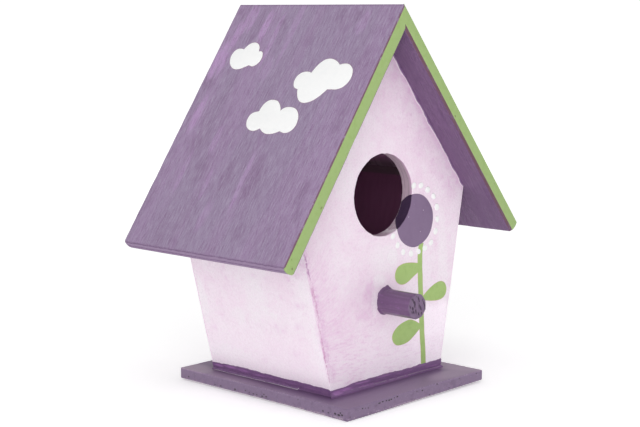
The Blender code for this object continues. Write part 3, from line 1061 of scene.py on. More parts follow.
class Paint:
    """A Principled material whose colour, roughness and relief come from procedural nodes.

    tone is its colour so far, and each coat is laid over it.
    """

    def __init__(self, name, roughness=0.5, specular=0.35):
        self.material = bpy.data.materials.new(name)
        self.material.use_nodes = True
        self.nodes = self.material.node_tree.nodes
        self.links = self.material.node_tree.links
        self.shader = self.nodes["Principled BSDF"].inputs
        self.shader["Roughness"].default_value = roughness
        self.shader["Specular IOR Level"].default_value = specular
        self.place = self.node("ShaderNodeTexCoord", "Object")
        split = self.node("ShaderNodeSeparateXYZ", 0, {0: self.place}).socket.node
        self.x, self.y, self.z = (Value(self, socket) for socket in split.outputs)

    def node(self, kind, output, inputs=None, **settings):
        """Makes a node and returns one of its outputs."""
        made = self.nodes.new(kind)
        for key, value in settings.items():
            setattr(made, key, value)
        for key, value in (inputs or {}).items():
            self.feed(made.inputs[key], value)
        return Value(self, made.outputs[output])

    def feed(self, socket, value):
        if isinstance(value, Value):
            self.links.new(value.socket, socket)
        else:
            socket.default_value = value

    def math(self, operation, *values):
        return self.node("ShaderNodeMath", 0, dict(enumerate(values)), operation=operation)

    def most(self, *values):
        return self.math("MAXIMUM", *values)

    def least(self, *values):
        return self.math("MINIMUM", *values)

    def along(self, direction, start=0.0):
        """The distance along a direction, less a start."""
        inputs = {0: self.place, 1: tuple(direction)}
        return self.node("ShaderNodeVectorMath", "Value", inputs, operation="DOT_PRODUCT") - start

    def noise(self, x, y, z, per_metre, detail=2.0, seed=0.0, rough=0.5, distortion=0.0):
        """Noise with so many lumps to the metre along each of three distances."""
        counts = per_metre if isinstance(per_metre, tuple) else (per_metre,) * 3
        axes = enumerate(zip((x, y, z), counts))
        places = {axis: self.math("MULTIPLY_ADD", at, float(count), seed) for axis, (at, count) in axes}
        return self.node("ShaderNodeTexNoise", "Fac", {
            "Vector": self.node("ShaderNodeCombineXYZ", 0, places), "Scale": 1.0, "Detail": detail,
            "Roughness": rough, "Distortion": distortion,
        })

    def lumps(self, *settings):
        """Noise in the model's own x, y and z."""
        return self.noise(self.x, self.y, self.z, *settings)

    def step(self, value, start, end, amount=1.0):
        """0 at start, the amount at end, smooth and held beyond them. start may be above end."""
        inputs = {"Value": value, "From Min": start, "From Max": end, "To Max": amount}
        return self.node("ShaderNodeMapRange", 0, inputs, interpolation_type="SMOOTHSTEP")

    def band(self, value, middle, half, soft, amount=1.0):
        """The amount within half of the middle, fading to 0 over the soft distance."""
        return self.step(abs(value - middle), half + soft, half, amount)

    def patches(self, u, v, table, ragged):
        """Soft oval patches: (middle u, middle v, half width, half height, strength), all but the last in mm.

        ragged is a noise about 0.5 that frays their edges.
        """
        fray = ragged * 3.2 - 1.6
        total = None
        for middle_u, middle_v, half_u, half_v, strength in table:
            a = self.math("MULTIPLY_ADD", u, 1 / (half_u * MM), -middle_u / half_u)
            b = self.math("MULTIPLY_ADD", v, 1 / (half_v * MM), -middle_v / half_v)
            far = self.math("MULTIPLY_ADD", b, b, self.math("MULTIPLY_ADD", a, a, fray))
            here = self.step(far, 1.3, 0.2, strength)
            total = here if total is None else self.most(total, here)
        return total

    def blend(self, share, first, second):
        first, second = (each if isinstance(each, Value) else (*each, 1.0) for each in (first, second))
        inputs = {0: share, 6: first, 7: second}
        return self.node("ShaderNodeMix", 2, inputs, data_type="RGBA", clamp_factor=True)

    def coat(self, share, colour):
        """Lays a colour over the tone so far, where the share says."""
        self.tone = self.blend(share, self.tone, colour)

    def finish(self, relief, depth, roughness=None):
        self.feed(self.shader["Base Color"], self.tone)
        if roughness is not None:
            self.feed(self.shader["Roughness"], roughness)
        bump = self.node("ShaderNodeBump", 0, {"Height": relief, "Distance": depth, "Strength": 1.0})
        self.feed(self.shader["Normal"], bump)
        return self.material


# Colours, linear.
# The roof.
PURPLE_PALE = (0.385, 0.310, 0.425)
PURPLE_DEEP = (0.215, 0.132, 0.240)
VIOLET = (0.450, 0.275, 0.515)
ROOF_GREY = (0.284, 0.214, 0.332)
ROOF_VIOLET = (0.322, 0.214, 0.368)
ROOF_FIBRE = (0.366, 0.300, 0.420)
ROOF_GRAIN = (0.338, 0.280, 0.396)
EAVE_END = (0.300, 0.220, 0.332)
PLY_SEAM = (0.120, 0.070, 0.140)
MAROON = (0.120, 0.045, 0.055)
# The base board.
BASE_COAT = (0.222, 0.150, 0.255)
BASE_PALE = (0.27, 0.195, 0.305)
BASE_PAINTED_SHADE = (0.120, 0.060, 0.148)
BASE_PAINTED_SHEEN = (0.500, 0.380, 0.490)
BASE_SIDE_SHADED = (0.178, 0.118, 0.205)
BASE_SIDE_DARK = (0.125, 0.075, 0.148)
BASE_SIDE_PALE = (0.300, 0.225, 0.330)
ARRIS_PAINTED_HIGHLIGHT = (0.40, 0.31, 0.43)
PIT = (0.018, 0.010, 0.020)
FILLER = (0.330, 0.250, 0.350)
RIM_RUBBED = (0.420, 0.330, 0.400)
UNDER_STREAK = (0.140, 0.085, 0.165)
# The walls.
LILAC = (0.850, 0.710, 0.812)
LILAC_PALE = (0.865, 0.775, 0.845)
LILAC_GREY = (0.800, 0.715, 0.790)
LILAC_PAINTED_LIGHT = (1.000, 0.895, 0.990)
LILAC_PAINTED_FOOT_LIGHT = (0.970, 0.870, 0.955)
LILAC_BARE = (0.860, 0.815, 0.855)
# Darker copies of LILAC and LILAC_PALE for the front wall, as painted shade.
LILAC_FRONT_SHADED = (0.825, 0.672, 0.785)
LILAC_FRONT_PALE_SHADED = (0.850, 0.745, 0.828)
PINK = (0.760, 0.540, 0.700)
ROSE = (0.690, 0.415, 0.640)
FAN_PINK = (0.800, 0.590, 0.750)
FAN_ROSE = (0.720, 0.450, 0.660)
SEAM_ROSE = (0.580, 0.300, 0.490)
SEAM_MAGENTA = (0.390, 0.165, 0.375)
# The inside and the entry hole.
INSIDE = (0.850, 0.430, 0.740)
INSIDE_PAINTED_SHADE = (0.300, 0.180, 0.245)
INSIDE_PLY = (0.285, 0.100, 0.208)
INSIDE_PLY_PALE = (0.305, 0.108, 0.222)
INSIDE_PAINTED_SHADOW = (0.190, 0.115, 0.150)
BORE_DARK = (0.46, 0.34, 0.42)
BORE_PALE = (0.66, 0.50, 0.59)
BORE_LIP = (0.68, 0.45, 0.62)
BORE_PLY = (0.32, 0.20, 0.27)
BORE_SMEAR = (0.85, 0.78, 0.83)
# The plum trim, the perch and the pins.
PLUM = (0.142, 0.072, 0.166)
PLUM_PALE = (0.250, 0.140, 0.275)
PLUM_DARK = (0.085, 0.045, 0.100)
PLUM_GLINT = (0.27, 0.12, 0.31)
BAND = (0.200, 0.098, 0.240)
BAND_PAINTED_HIGHLIGHT = (0.38, 0.175, 0.440)
DOWEL_END = (0.150, 0.088, 0.172)
DOWEL_END_PALE = (0.180, 0.112, 0.203)
DOWEL_GRAIN = (0.052, 0.026, 0.060)
STEEL = (0.45, 0.45, 0.46)
STEEL_PALE = (0.62, 0.62, 0.63)
# Marks in the flat coats.
GREEN_PIT = (0.12, 0.10, 0.04)
SPECK = (0.62, 0.56, 0.66)
# The flat coats: (colour, darker mottle, paler grain).
COATS = {
    "ridge_lilac": ((0.790, 0.660, 0.755), (0.740, 0.590, 0.700), (0.850, 0.770, 0.825)),
    "leaf_green": ((0.358, 0.505, 0.168), (0.270, 0.410, 0.120), (0.41, 0.55, 0.24)),
    "edge_green": ((0.305, 0.425, 0.157), (0.255, 0.375, 0.110), (0.36, 0.48, 0.21)),
    "cloud_white": ((0.880, 0.880, 0.880), (0.84, 0.85, 0.86), (0.90, 0.90, 0.90)),
    "cloud_edge": ((0.330, 0.235, 0.270), (0.280, 0.190, 0.220), (0.420, 0.330, 0.360)),
    "leaf_edge": ((0.700, 0.500, 0.440), (0.640, 0.440, 0.380), (0.760, 0.580, 0.540)),
    "flower_purple": ((0.208, 0.138, 0.240), (0.190, 0.122, 0.220), (0.235, 0.165, 0.265)),
    # A darker copy of flower_purple for the paint inside the entry hole: painted shade.
    "flower_shaded": ((0.062, 0.034, 0.080), (0.045, 0.024, 0.060), (0.085, 0.050, 0.105)),
    "torn_plum_left": ((0.600, 0.520, 0.620), (0.420, 0.320, 0.440), (0.700, 0.640, 0.720)),
    "torn_plum_front": ((0.360, 0.265, 0.375), (0.250, 0.165, 0.265), (0.450, 0.360, 0.460)),
}

# Pale specks on the flower's disc: (across, up, half width, half height, strength), in mm.
SPECKS = [
    (22.1, 69.2, 0.22, 0.22, 1), (13.6, 67.5, 0.28, 0.18, 1), (20.1, 60.9, 0.2, 0.25, 0.6),
    (17.0, 72.2, 0.15, 0.15, 0.5),
]

# Brush marks on the left roof panel: (back, down the slope, half width, half length, strength), in mm.
ROOF_LIGHT = [
    (25.6, 10, 1.9, 9, 0.95), (36.5, 7, 3.5, 7, 0.7), (40.3, 14, 2.0, 8, 0.8), (43.5, 26, 4.0, 10, 0.95),
    (40.2, 52, 2.6, 9, 0.85), (9.0, 15, 2.4, 18, 0.45), (18.0, 17, 1.6, 13, 0.6), (22.8, 63, 1.8, 6, 0.45),
    (-3.2, 79, 1.8, 14, 0.55), (8.5, 95, 2.6, 8, 0.4), (16.0, 82, 1.3, 6, 0.4), (33.0, 78, 1.5, 9, 0.35),
    (-28.0, 8, 3.0, 6, 0.35), (12.0, 30, 3.0, 6, 0.3),
]
ROOF_DARK = [
    (-8.3, 78, 4.4, 11, 0.9), (6.8, 78, 2.8, 8.5, 0.75), (23.0, 75, 4.2, 8, 0.65), (-37.0, 82, 2.8, 7, 0.85),
    (-39.5, 90, 2.5, 4, 0.7), (-39.0, 50, 3.4, 8, 0.6), (-14.0, 4.5, 3.0, 4, 0.75), (-24.0, 5, 2.8, 4, 0.8),
    (-19.0, 8, 4.0, 4, 0.5), (43.5, 38, 4.5, 3, 0.8), (-14.0, 99.5, 3.4, 4, 0.55), (5.2, 40, 1.6, 4, 0.5),
    (16.0, 9.5, 2.2, 3.5, 0.65), (30.6, 10, 2.6, 8, 0.65), (43.5, 6, 3.6, 4, 0.6), (33.0, 65, 6.0, 5, 0.4),
    (18.5, 58, 2.6, 5, 0.35), (-4.0, 62, 3.0, 5, 0.3),
]


def brush_marks(paint, run, across, third, seed):
    """(hairs, streaks, grain) noises of a brush that ran along the first distance."""
    hairs = paint.noise(run, across, third, (75, 1150, 1150), 2, seed)
    streaks = paint.noise(run, across, third, (22, 330, 330), 3, seed + 3)
    grain = paint.noise(run, across, third, 1500, 2, seed + 5)
    return hairs, streaks, grain


def brushed(paint, hairs, streaks, grain, light, dark, amount):
    """The brush's light and dark marks, over the tone so far."""
    paint.coat(paint.step(streaks, 0.50, 0.72, 0.40 * amount), light)
    paint.coat(paint.step(streaks, 0.50, 0.28, 0.35 * amount), dark)
    paint.coat(paint.step(hairs, 0.50, 0.78, 0.75 * amount), light)
    paint.coat(paint.step(hairs, 0.50, 0.24, 0.55 * amount), dark)
    paint.coat(paint.step(grain, 0.55, 0.80, 0.45 * amount), light)
    paint.coat(paint.step(grain, 0.45, 0.20, 0.45 * amount), dark)


def roof_paint(side_name):
    """Dusty purple, brushed down the slope over a darker, redder coat that shows here and there."""
    roof = ROOFS[side_name]
    paint = Paint(f"roof_purple_{side_name}", 0.5)
    down = paint.along(roof.down, roof.down.z * roof.ridge_z)
    depth = -paint.along(roof.normal, roof.offset)
    across = paint.y * -roof.side
    hairs, streaks, grain = brush_marks(paint, down, paint.y, depth, 11.0 + roof.side)
    mottle = paint.noise(down, paint.y, depth, (420, 1100, 1100), 3, 21.0 + roof.side, 0.7)
    cloudy = paint.noise(down, paint.y, depth, (26, 90, 90), 4, 31.0 + roof.side, 0.6)
    fibres = paint.noise(down, paint.y, depth, (210, 2100, 2100), 2, 37.0 + roof.side, 0.6)
    bands = paint.noise(down, paint.y, depth, (9, 62, 62), 3, 47.0 + roof.side, 0.6)
    paint.tone = paint.blend(paint.step(bands, 0.44, 0.62, 0.75), ROOF_GREY, ROOF_VIOLET)
    paint.coat(paint.step(cloudy, 0.46, 0.70, 0.45), PURPLE_DEEP)
    light = paint.patches(across, down, ROOF_LIGHT, streaks)
    paint.coat(light * paint.step(hairs, 0.10, 0.50), VIOLET)
    dark = paint.patches(across, down, ROOF_DARK, cloudy)
    paint.coat(dark * paint.step(mottle, 0.34, 0.60, 0.95), PURPLE_DEEP)
    paint.coat(dark * paint.step(grain, 0.50, 0.62, 0.5), PLUM)
    brushed(paint, hairs, streaks, grain, PURPLE_PALE, PURPLE_DEEP, 0.30)
    paint.coat(paint.step(fibres, 0.50, 0.70, 0.85), ROOF_FIBRE)
    paint.coat(paint.step(fibres, 0.49, 0.30, 0.80), PURPLE_DEEP)
    paint.coat(paint.step(grain, 0.52, 0.72, 0.40), ROOF_GRAIN)
    paint.coat(paint.step(grain, 0.48, 0.28, 0.45), PURPLE_DEEP)
    paint.coat(paint.step(mottle, 0.58, 0.74, 0.40), PURPLE_DEEP)
    at_back = paint.band(paint.y, roof.back, 0.25 * MM, 0.45 * MM, 0.7)
    arris = paint.most(at_back, paint.step(down, 0.9 * MM, 0.3 * MM, 0.45))
    arris = paint.most(arris, paint.step(down, roof.length - 0.8 * MM, roof.length - 0.3 * MM, 0.6))
    paint.coat(arris * paint.step(streaks, 0.25, 0.55), PLUM)
    # The redder line where the purple stops short of the green front end.
    front_line = paint.band(paint.y, roof.front + 0.08 * MM, 0.12 * MM, 0.25 * MM, 0.8)
    at_front = paint.step(paint.y, roof.front + 0.3 * MM, roof.front + 0.1 * MM)
    under_line = at_front * paint.step(depth, roof.thickness - 1.6 * MM, roof.thickness - 1.4 * MM)
    paint.coat(under_line * 0.9, PLUM)
    paint.coat(front_line * paint.step(mottle, 0.25, 0.5), MAROON)
    # The cut eave end, with its seams between the plies.
    on_end = paint.step(down, roof.length - 0.45 * MM, roof.length - 0.2 * MM)
    paint.coat(on_end * 0.9, EAVE_END)
    wander = paint.noise(paint.y, paint.y, 0.0, (220, 220, 0), 3, 39.0)
    seam_depth = depth + wander * (1.0 * MM) - 0.5 * MM
    for seam, strength in ((0.06, 0.7), (0.36, 0.8), (0.66, 0.4), (0.97, 0.7)):
        line = paint.band(seam_depth, roof.thickness * seam, 0.08 * MM, 0.25 * MM, strength)
        paint.coat(line * paint.step(mottle, 0.30, 0.50) * on_end, PLY_SEAM)
    # Plain and browner where the panel roofs the nest space, darkening towards the top of the wall as painted
    # shade.
    inner_down = wall_top_down(side_name)
    indoors = paint.band(paint.y, MIDDLE_Y, HALF_DEPTH - 3 * MM, 0.5 * MM)
    indoors = indoors * paint.step(down, inner_down + 0.3 * MM, inner_down - 0.3 * MM)
    under = paint.step(depth, roof.thickness - 0.40 * MM, roof.thickness - 0.15 * MM, 0.9)
    below = paint.blend(paint.step(mottle, 0.45, 0.72, 0.40), PLUM, PLUM_PALE)
    below = paint.blend(paint.step(hairs, 0.5, 0.25, 0.25), below, PLUM_DARK)
    shade_to_joint = paint.blend(paint.step(down, inner_down - 7 * MM, inner_down - 1 * MM), INSIDE, INSIDE_PAINTED_SHADE)
    paint.coat(under, paint.blend(indoors, below, shade_to_joint))
    relief = (fibres * 0.7 + grain * 0.3) * (1.0 - on_end)
    paint.feed(paint.shader["Specular IOR Level"], paint.step(on_end, 1.0, 0.0, 0.35))
    return paint.finish(relief, 0.07 * MM, paint.step(streaks, 0.3, 0.7, 0.62))


def base_paint():
    """Glossy purple, with pits in its edges where the wood was open; painted shade by the walls, on its sides
    and in the pits, and painted sheen and highlights on top.
    """
    paint = Paint("base_purple", 0.42, 0.5)
    hairs, streaks, grain = brush_marks(paint, paint.x, paint.y, paint.z, 41.0)
    mottle = paint.lumps(420, 3, 43.0)
    paint.tone = BASE_COAT
    brushed(paint, hairs, streaks, grain, BASE_PALE, PLUM, 0.12)
    paint.coat(paint.step(mottle, 0.56, 0.75, 0.10), PLUM)
    # Painted shade: darker within a few mm of the walls, where their shade falls.
    beside = abs(paint.x) - WALLS["right"].half_width(FOOT_Z)
    from_walls = paint.most(beside, abs(paint.y - MIDDLE_Y) - HALF_DEPTH)
    paint.coat(paint.step(from_walls, 7.5 * MM, 0.5 * MM, 0.75), BASE_PAINTED_SHADE)
    # Painted sheen: paler patches on the top stand in for the glossy paint's reflection.
    sheen = paint.patches(paint.x, paint.y, BASE_SHEEN, 0.5)
    paint.coat(sheen * paint.step(paint.z, FOOT_Z - 0.5 * MM, FOOT_Z - 0.2 * MM), BASE_PAINTED_SHEEN)
    # Painted shade: the sides are darkened towards a darker copy of the top's purple.
    side = paint.step(paint.z, FOOT_Z - 0.5 * MM, FOOT_Z - 0.9 * MM)
    paint.coat(side * 0.6, BASE_SIDE_SHADED)
    paint.coat(side * paint.step(mottle, 0.50, 0.70, 0.45), BASE_SIDE_DARK)
    paint.coat(side * paint.step(grain, 0.58, 0.72, 0.35), BASE_SIDE_PALE)
    # Painted highlights: pale specks along the upper arris.
    to_rim = paint.least(BASE_HIGH.x - abs(paint.x), BASE_HIGH.y - abs(paint.y))
    edge = paint.band(paint.z, FOOT_Z - 0.15 * MM, 0.2 * MM, 0.3 * MM)
    edge = edge * paint.step(to_rim, 0.7 * MM, 0.3 * MM)
    paint.coat(edge * paint.step(grain, 0.48, 0.70, 0.7), ARRIS_PAINTED_HIGHLIGHT)
    on_front_end = paint.step(paint.y, BASE_LOW.y + 0.9 * MM, BASE_LOW.y + 0.5 * MM)
    on_left_end = paint.step(paint.x, BASE_LOW.x + 0.9 * MM, BASE_LOW.x + 0.5 * MM)
    front_pits = paint.patches(paint.x, paint.z, BASE_FRONT_PITS, mottle) * on_front_end
    left_pits = paint.patches(paint.y, paint.z, BASE_LEFT_PITS, mottle) * on_left_end
    # Painted shade: near-black patches stand for the hollows of the pits.
    paint.coat(paint.most(front_pits, left_pits), PIT)
    # Underneath: smears over the filled pin heads, and a rim rubbed by what the house stands on.
    under = paint.step(paint.z, FLOOR_Z + 0.6 * MM, FLOOR_Z + 0.3 * MM)
    paint.coat(under * paint.patches(paint.x, paint.y, base_pin_heads(), streaks), FILLER)
    rubbed = paint.step(to_rim, 5.0 * MM, 0.8 * MM) * paint.step(grain * 0.5 + streaks * 0.5, 0.44, 0.56, 0.7)
    paint.coat(under * rubbed, RIM_RUBBED)
    paint.coat(under * paint.step(streaks, 0.46, 0.30, 0.6), UNDER_STREAK)
    return paint.finish(mottle, 0.008 * MM)


def base_pin_heads():
    """Smears of filler under the base board: (x, y, half width, half depth, strength), in mm."""
    smears = []
    for name in ("base_front_pin_left", "base_front_pin_right", "base_back_pin_left", "base_back_pin_right"):
        low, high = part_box(name)
        smears.append(((low[0] + high[0]) / 2 / MM, (low[1] + high[1]) / 2 / MM, 2.6, 1.8, 0.8))
    return smears


# Painted sheen on the base board's top, a painted reflection on its glossy paint: (x, y, half width, half
# depth, strength), in mm.
BASE_SHEEN = [
    (37.0, -35.0, 9.0, 16.0, 0.55), (28.0, -43.0, 16.0, 6.0, 0.35), (-35.5, 44.0, 7.0, 14.0, 0.60),
    (-35.5, 20.0, 3.5, 24.0, 0.25),
]

# Pits in the edges of the base board: (across, up, half width, half height, strength), in mm.
BASE_FRONT_PITS = [
    (-21.0, 3.0, 0.8, 0.35, 1), (-19.2, 3.2, 0.6, 0.25, 1), (-17.3, 3.2, 0.5, 0.3, 1),
    (-15.8, 3.1, 0.4, 0.3, 1),
    (-14.5, 3.2, 0.5, 0.25, 1), (-12.9, 3.4, 0.4, 0.25, 1), (-11.3, 3.5, 0.5, 0.3, 1),
    (-30.0, 2.8, 0.35, 0.25, 1),
    (-28.4, 2.6, 0.3, 0.2, 0.8), (-26.9, 2.4, 0.35, 0.25, 1), (-0.4, 3.3, 0.4, 0.25, 1),
    (2.7, 3.1, 0.4, 0.25, 1),
    (-1.9, 0.5, 0.4, 0.3, 0.8), (6.7, 0.7, 0.4, 0.25, 0.8), (-22.8, 2.3, 0.3, 0.25, 0.9),
    (11.2, 3.9, 0.5, 0.25, 0.6), (24.1, 3.6, 0.5, 0.25, 0.7), (34.3, 3.7, 0.4, 0.25, 0.7),
    (-36.6, 0.9, 0.5, 0.3, 1), (18.0, 1.2, 0.35, 0.25, 0.7),
]
BASE_LEFT_PITS = [
    (14.3, 1.0, 0.6, 0.4, 1), (8.1, 1.6, 0.5, 0.3, 1), (5.8, 1.2, 0.6, 0.35, 1), (3.4, 1.1, 0.6, 0.3, 1),
    (1.5, 1.1, 0.5, 0.3, 1), (-1.7, 1.0, 0.7, 0.4, 1), (-4.0, 1.2, 0.7, 0.35, 1), (-2.7, 1.9, 0.4, 0.3, 1),
    (26.5, 0.9, 0.6, 0.3, 0.7), (23.0, 1.0, 0.5, 0.3, 0.7), (43.0, 1.4, 0.5, 0.35, 0.9),
    (-35.5, 1.3, 0.5, 0.4, 1),
    (-38.4, 1.1, 0.5, 0.35, 1), (-42.0, 1.4, 0.6, 0.4, 1), (-43.8, 1.2, 0.7, 0.45, 1),
    (-45.6, 1.5, 0.6, 0.4, 1),
    (-44.7, 2.2, 0.4, 0.3, 1), (-22.0, 3.2, 0.4, 0.25, 0.6),
]

# Pits in the green front ends: (down the slope, depth, half length, half depth, strength), in mm.
GREEN_PITS = {
    "left": [
        (109.0, 3.6, 0.5, 0.4, 0.9), (106.3, 1.6, 0.3, 0.25, 0.7), (84.0, 4.2, 0.7, 0.35, 0.8),
        (61.0, 4.6, 0.4, 0.2, 0.5),
    ],
    "right": [(51.3, 3.3, 0.5, 0.35, 0.8), (56.8, 4.5, 0.7, 0.25, 0.5), (88.0, 1.4, 0.4, 0.25, 0.4)],
}

# Dabs of paint on the walls: (across, up, half width, half height, strength), in mm.
FRONT_PINK = [
    (-9.0, 42.5, 3.0, 6.0, 1.0), (-12.0, 32.5, 5.0, 2.6, 0.9), (-24.0, 13.5, 8.0, 2.6, 0.8),
    (-10.0, 11.5, 12.0, 2.6, 0.85), (14.0, 12.0, 3.0, 2.5, 0.6), (28.0, 12.5, 3.0, 3.5, 0.6),
    (-26.0, 26.0, 9.0, 13.0, 0.45), (-22.0, 40.0, 14.0, 16.0, 0.28), (10.0, 102.0, 4.0, 3.0, 0.45),
    (15.0, 111.0, 8.0, 5.0, 0.5), (22.0, 97.0, 6.0, 7.0, 0.4), (28.0, 87.5, 1.3, 1.8, 0.85),
    (33.0, 84.0, 6.0, 7.0, 0.4), (38.5, 77.0, 6.0, 5.0, 0.75), (6.5, 124.0, 4.0, 9.0, 0.6),
    (-13.0, 65.5, 1.5, 1.0, 0.6), (-5.0, 61.3, 1.5, 0.8, 0.9), (-1.0, 60.8, 1.0, 0.6, 0.6),
    (-3.0, 28.5, 4.0, 3.5, 0.4), (-34.0, 45.0, 5.0, 8.0, 0.35), (0.0, 112.0, 8.0, 9.0, 0.25),
]
FRONT_PALE = [
    (4.0, 53.5, 3.6, 3.6, 0.75), (0.0, 53.0, 9.0, 6.0, 0.5), (33.0, 40.0, 3.5, 30.0, 0.5),
    (-20.0, 84.0, 6.0, 8.0, 0.4),
    (24.0, 47.0, 7.0, 5.0, 0.3), (-3.6, 45.0, 3.5, 3.0, 0.55), (-6.5, 36.5, 1.8, 5.0, 0.6),
]
LEFT_PINK = [
    (16.0, 45.5, 1.2, 1.2, 0.75), (16.5, 50.0, 1.5, 1.2, 0.7), (18.0, 48.0, 1.0, 3.0, 0.5),
    (13.5, 43.5, 3.5, 1.6, 0.5),
    (29.5, 23.0, 1.6, 2.2, 0.7), (2.2, 13.5, 1.5, 1.8, 1.0), (-2.0, 11.0, 1.5, 1.2, 0.8),
    (-9.5, 28.0, 3.4, 2.8, 0.55),
    (-17.0, 17.0, 5.5, 4.5, 0.45), (-20.0, 50.0, 1.9, 2.0, 0.95), (-21.5, 45.5, 1.2, 1.0, 0.7),
    (-26.5, 52.5, 3.0, 2.2, 0.9), (-15.5, 41.5, 2.0, 1.7, 0.55), (-23.0, 39.5, 3.4, 1.6, 0.5),
    (-22.0, 30.5, 3.0, 2.0, 0.45),
    (-29.5, 56.5, 2.6, 2.6, 1.0), (-14.0, 10.5, 1.4, 1.0, 0.7), (-25.0, 9.8, 1.6, 1.0, 0.6),
    (24.0, 32.0, 5.0, 3.0, 0.3),
    (-31.3, 28.0, 1.3, 6.0, 0.4), (0.0, 48.5, 3.0, 1.2, 0.4), (-8.0, 48.5, 3.0, 1.4, 0.45),
    (27.0, 44.0, 4.0, 1.4, 0.4),
]
LEFT_PALE = [
    (25.0, 13.5, 12.0, 3.5, 0.55), (0.0, 38.0, 7.0, 8.0, 0.5), (-8.5, 33.5, 2.2, 1.6, 0.6),
    (13.0, 31.0, 4.0, 4.0, 0.45),
    (33.0, 33.0, 2.5, 12.0, 0.5), (-29.0, 20.0, 2.0, 12.0, 0.45), (-28.0, 45.0, 2.5, 5.0, 0.4),
]
BACK_PINK = [
    (-14, 20, 9, 7, 0.5), (18, 35, 7, 9, 0.4), (5, 80, 10, 8, 0.4),
    (-20, 60, 8, 12, 0.45), (24, 12, 7, 3, 0.6),
]
BACK_PALE = [(0, 50, 10, 8, 0.5), (20, 70, 7, 10, 0.4), (-10, 105, 6, 8, 0.4)]
RIGHT_PINK = [
    (-12, 22, 7, 6, 0.5), (15, 44, 5, 8, 0.45), (4, 12, 8, 3, 0.6),
    (26, 30, 4, 6, 0.4), (-27, 55, 4, 7, 0.5),
]
RIGHT_PALE = [(0, 40, 8, 8, 0.5), (-20, 36, 5, 9, 0.4), (24, 58, 5, 5, 0.4)]

# More on the front wall: a painted pool of light on its right foot, and where the brush fanned out.
FRONT_PAINTED_LIGHT = [(26, 16, 17, 17, 0.95), (10, 9, 14, 6, 0.5)]
FAN = [
    (-24, 20, 20, 18, 0.9), (-33, 46, 9, 18, 0.7), (0, 14, 26, 8, 0.6), (-10, 34, 10, 12, 0.45),
    (24, 14, 10, 6, 0.4),
]

# Along the front wall's left arris: the smudges (in from the arris, up, ...), and each strand of the dark
# line (how far in it runs, in mm, and where it shows).
SEAM_SMUDGES = [
    (0.6, 58, 1.8, 8, 0.9), (1.2, 43, 2.4, 7, 0.9), (1.8, 34, 2.8, 6, 0.7), (1.4, 23, 2.6, 10, 0.9),
    (2.4, 14, 2.6, 5, 0.6),
]
SEAM_STRANDS = (
    (0.0, [(-40, 55.5, 30, 5.0, 1.0), (-40, 46, 30, 3.0, 0.6), (-36, 31.5, 30, 2.6, 0.5),
    (-34, 22, 30, 7.0, 1.0),
           (-33, 13, 30, 3.0, 0.5)]),
    (0.7, [(-38, 42, 30, 7.0, 1.0)]),
)

# Pale smears round the entry hole's inner wall.
BORE_SMEARS = [(12, 76, 3, 3, 0.7), (13, 68, 4, 4, 0.9), (6, 63.5, 4, 3, 0.9), (1, 93, 3, 2, 0.8)]


def wall_paint(name, across_is_x, pink_dabs, pale_dabs, streaked):
    """Lilac dabbed over pink, paler towards its foot as painted light and darker and pinker under the roof as
    painted shade. A streaked wall also shows the brush, fanning out from its left foot, and is a darker copy
    with a painted pool of light on its right foot.
    """
    paint = Paint(name, 0.55)
    x, y, z = paint.x, paint.y, paint.z
    across = x if across_is_x else y
    broad = paint.noise(x, y, z, 48, 4, 51.0, 0.6)
    dabs = paint.noise(x, y, z, 330, 3, 53.0, 0.6, 0.5)
    weave = paint.noise(x, y, z, 900, 2, 55.0, 0.6)
    grain = paint.noise(x, y, z, 1900, 2, 57.0)
    # Painted shade: the front wall takes darker copies of the lilacs.
    low, high = (LILAC_FRONT_SHADED, LILAC_FRONT_PALE_SHADED) if streaked else (LILAC_PALE, LILAC)
    paint.tone = paint.blend(paint.step(broad, 0.38, 0.66), low, high)
    paint.coat(paint.step(dabs, 0.50, 0.74, 0.35), PINK)
    paint.coat(paint.step(dabs, 0.48, 0.28, 0.45), LILAC_PALE)
    paint.coat(paint.patches(across, z, pale_dabs, broad), LILAC_BARE)
    worked = dabs * 0.45 + weave * 0.55
    frayed = broad * 0.4 + weave * 1.2 - 0.3
    dark = paint.patches(across, z, pink_dabs, frayed)
    paint.coat(dark * paint.step(worked, 0.36, 0.66, 0.68), ROSE)
    # Painted light: paler towards the foot, making up for the shade the base board casts there.
    paint.coat(paint.step(z, 34 * MM, 8 * MM, 0.85 if streaked else 0.60), LILAC_PAINTED_FOOT_LIGHT)
    if streaked:
        # Painted light on the front wall's right foot.
        paint.coat(paint.patches(x, z, FRONT_PAINTED_LIGHT, broad), LILAC_PAINTED_LIGHT)
        fanned_streaks(paint)
        corner_seam(paint)
    paint.coat(paint.step(weave, 0.52, 0.76, 0.30), PINK)
    paint.coat(paint.step(grain, 0.55, 0.80, 0.28), ROSE)
    paint.coat(paint.step(grain, 0.45, 0.22, 0.35), LILAC_GREY)
    under_roof = abs(x) * ROOFS["right"].tangent + z
    apex = ROOFS["right"].underside(0)
    # Painted shade: darker and pinker just under the roof.
    near = paint.step(under_roof, apex - 7.0 * MM, apex - 0.5 * MM, 0.6)
    paint.coat(near * paint.step(worked, 0.30, 0.62), ROSE)
    relief = grain * 0.25 + weave * 0.75
    return paint.finish(relief, 0.08 * MM, paint.step(weave, 0.2, 0.8, 0.66))


def fanned_streaks(paint):
    """Short streaks low on the left of the front wall: level at the foot, and steeper and steeper above."""
    rise = paint.step(paint.z, 22 * MM, 62 * MM, 1.1)
    level = paint.z - (paint.x + 0.030) * rise
    streaks = paint.noise(paint.x, paint.y, level, (270, 270, 1150), 3, 61.0, 0.6, 0.3)
    fan = paint.patches(paint.x, paint.z, FAN, paint.lumps(90, 2, 63.0))
    paint.coat(fan * 0.30, FAN_PINK)
    paint.coat(fan * paint.step(streaks, 0.46, 0.72, 0.60), FAN_ROSE)
    paint.coat(fan * paint.step(streaks, 0.48, 0.30, 0.50), LILAC_PALE)


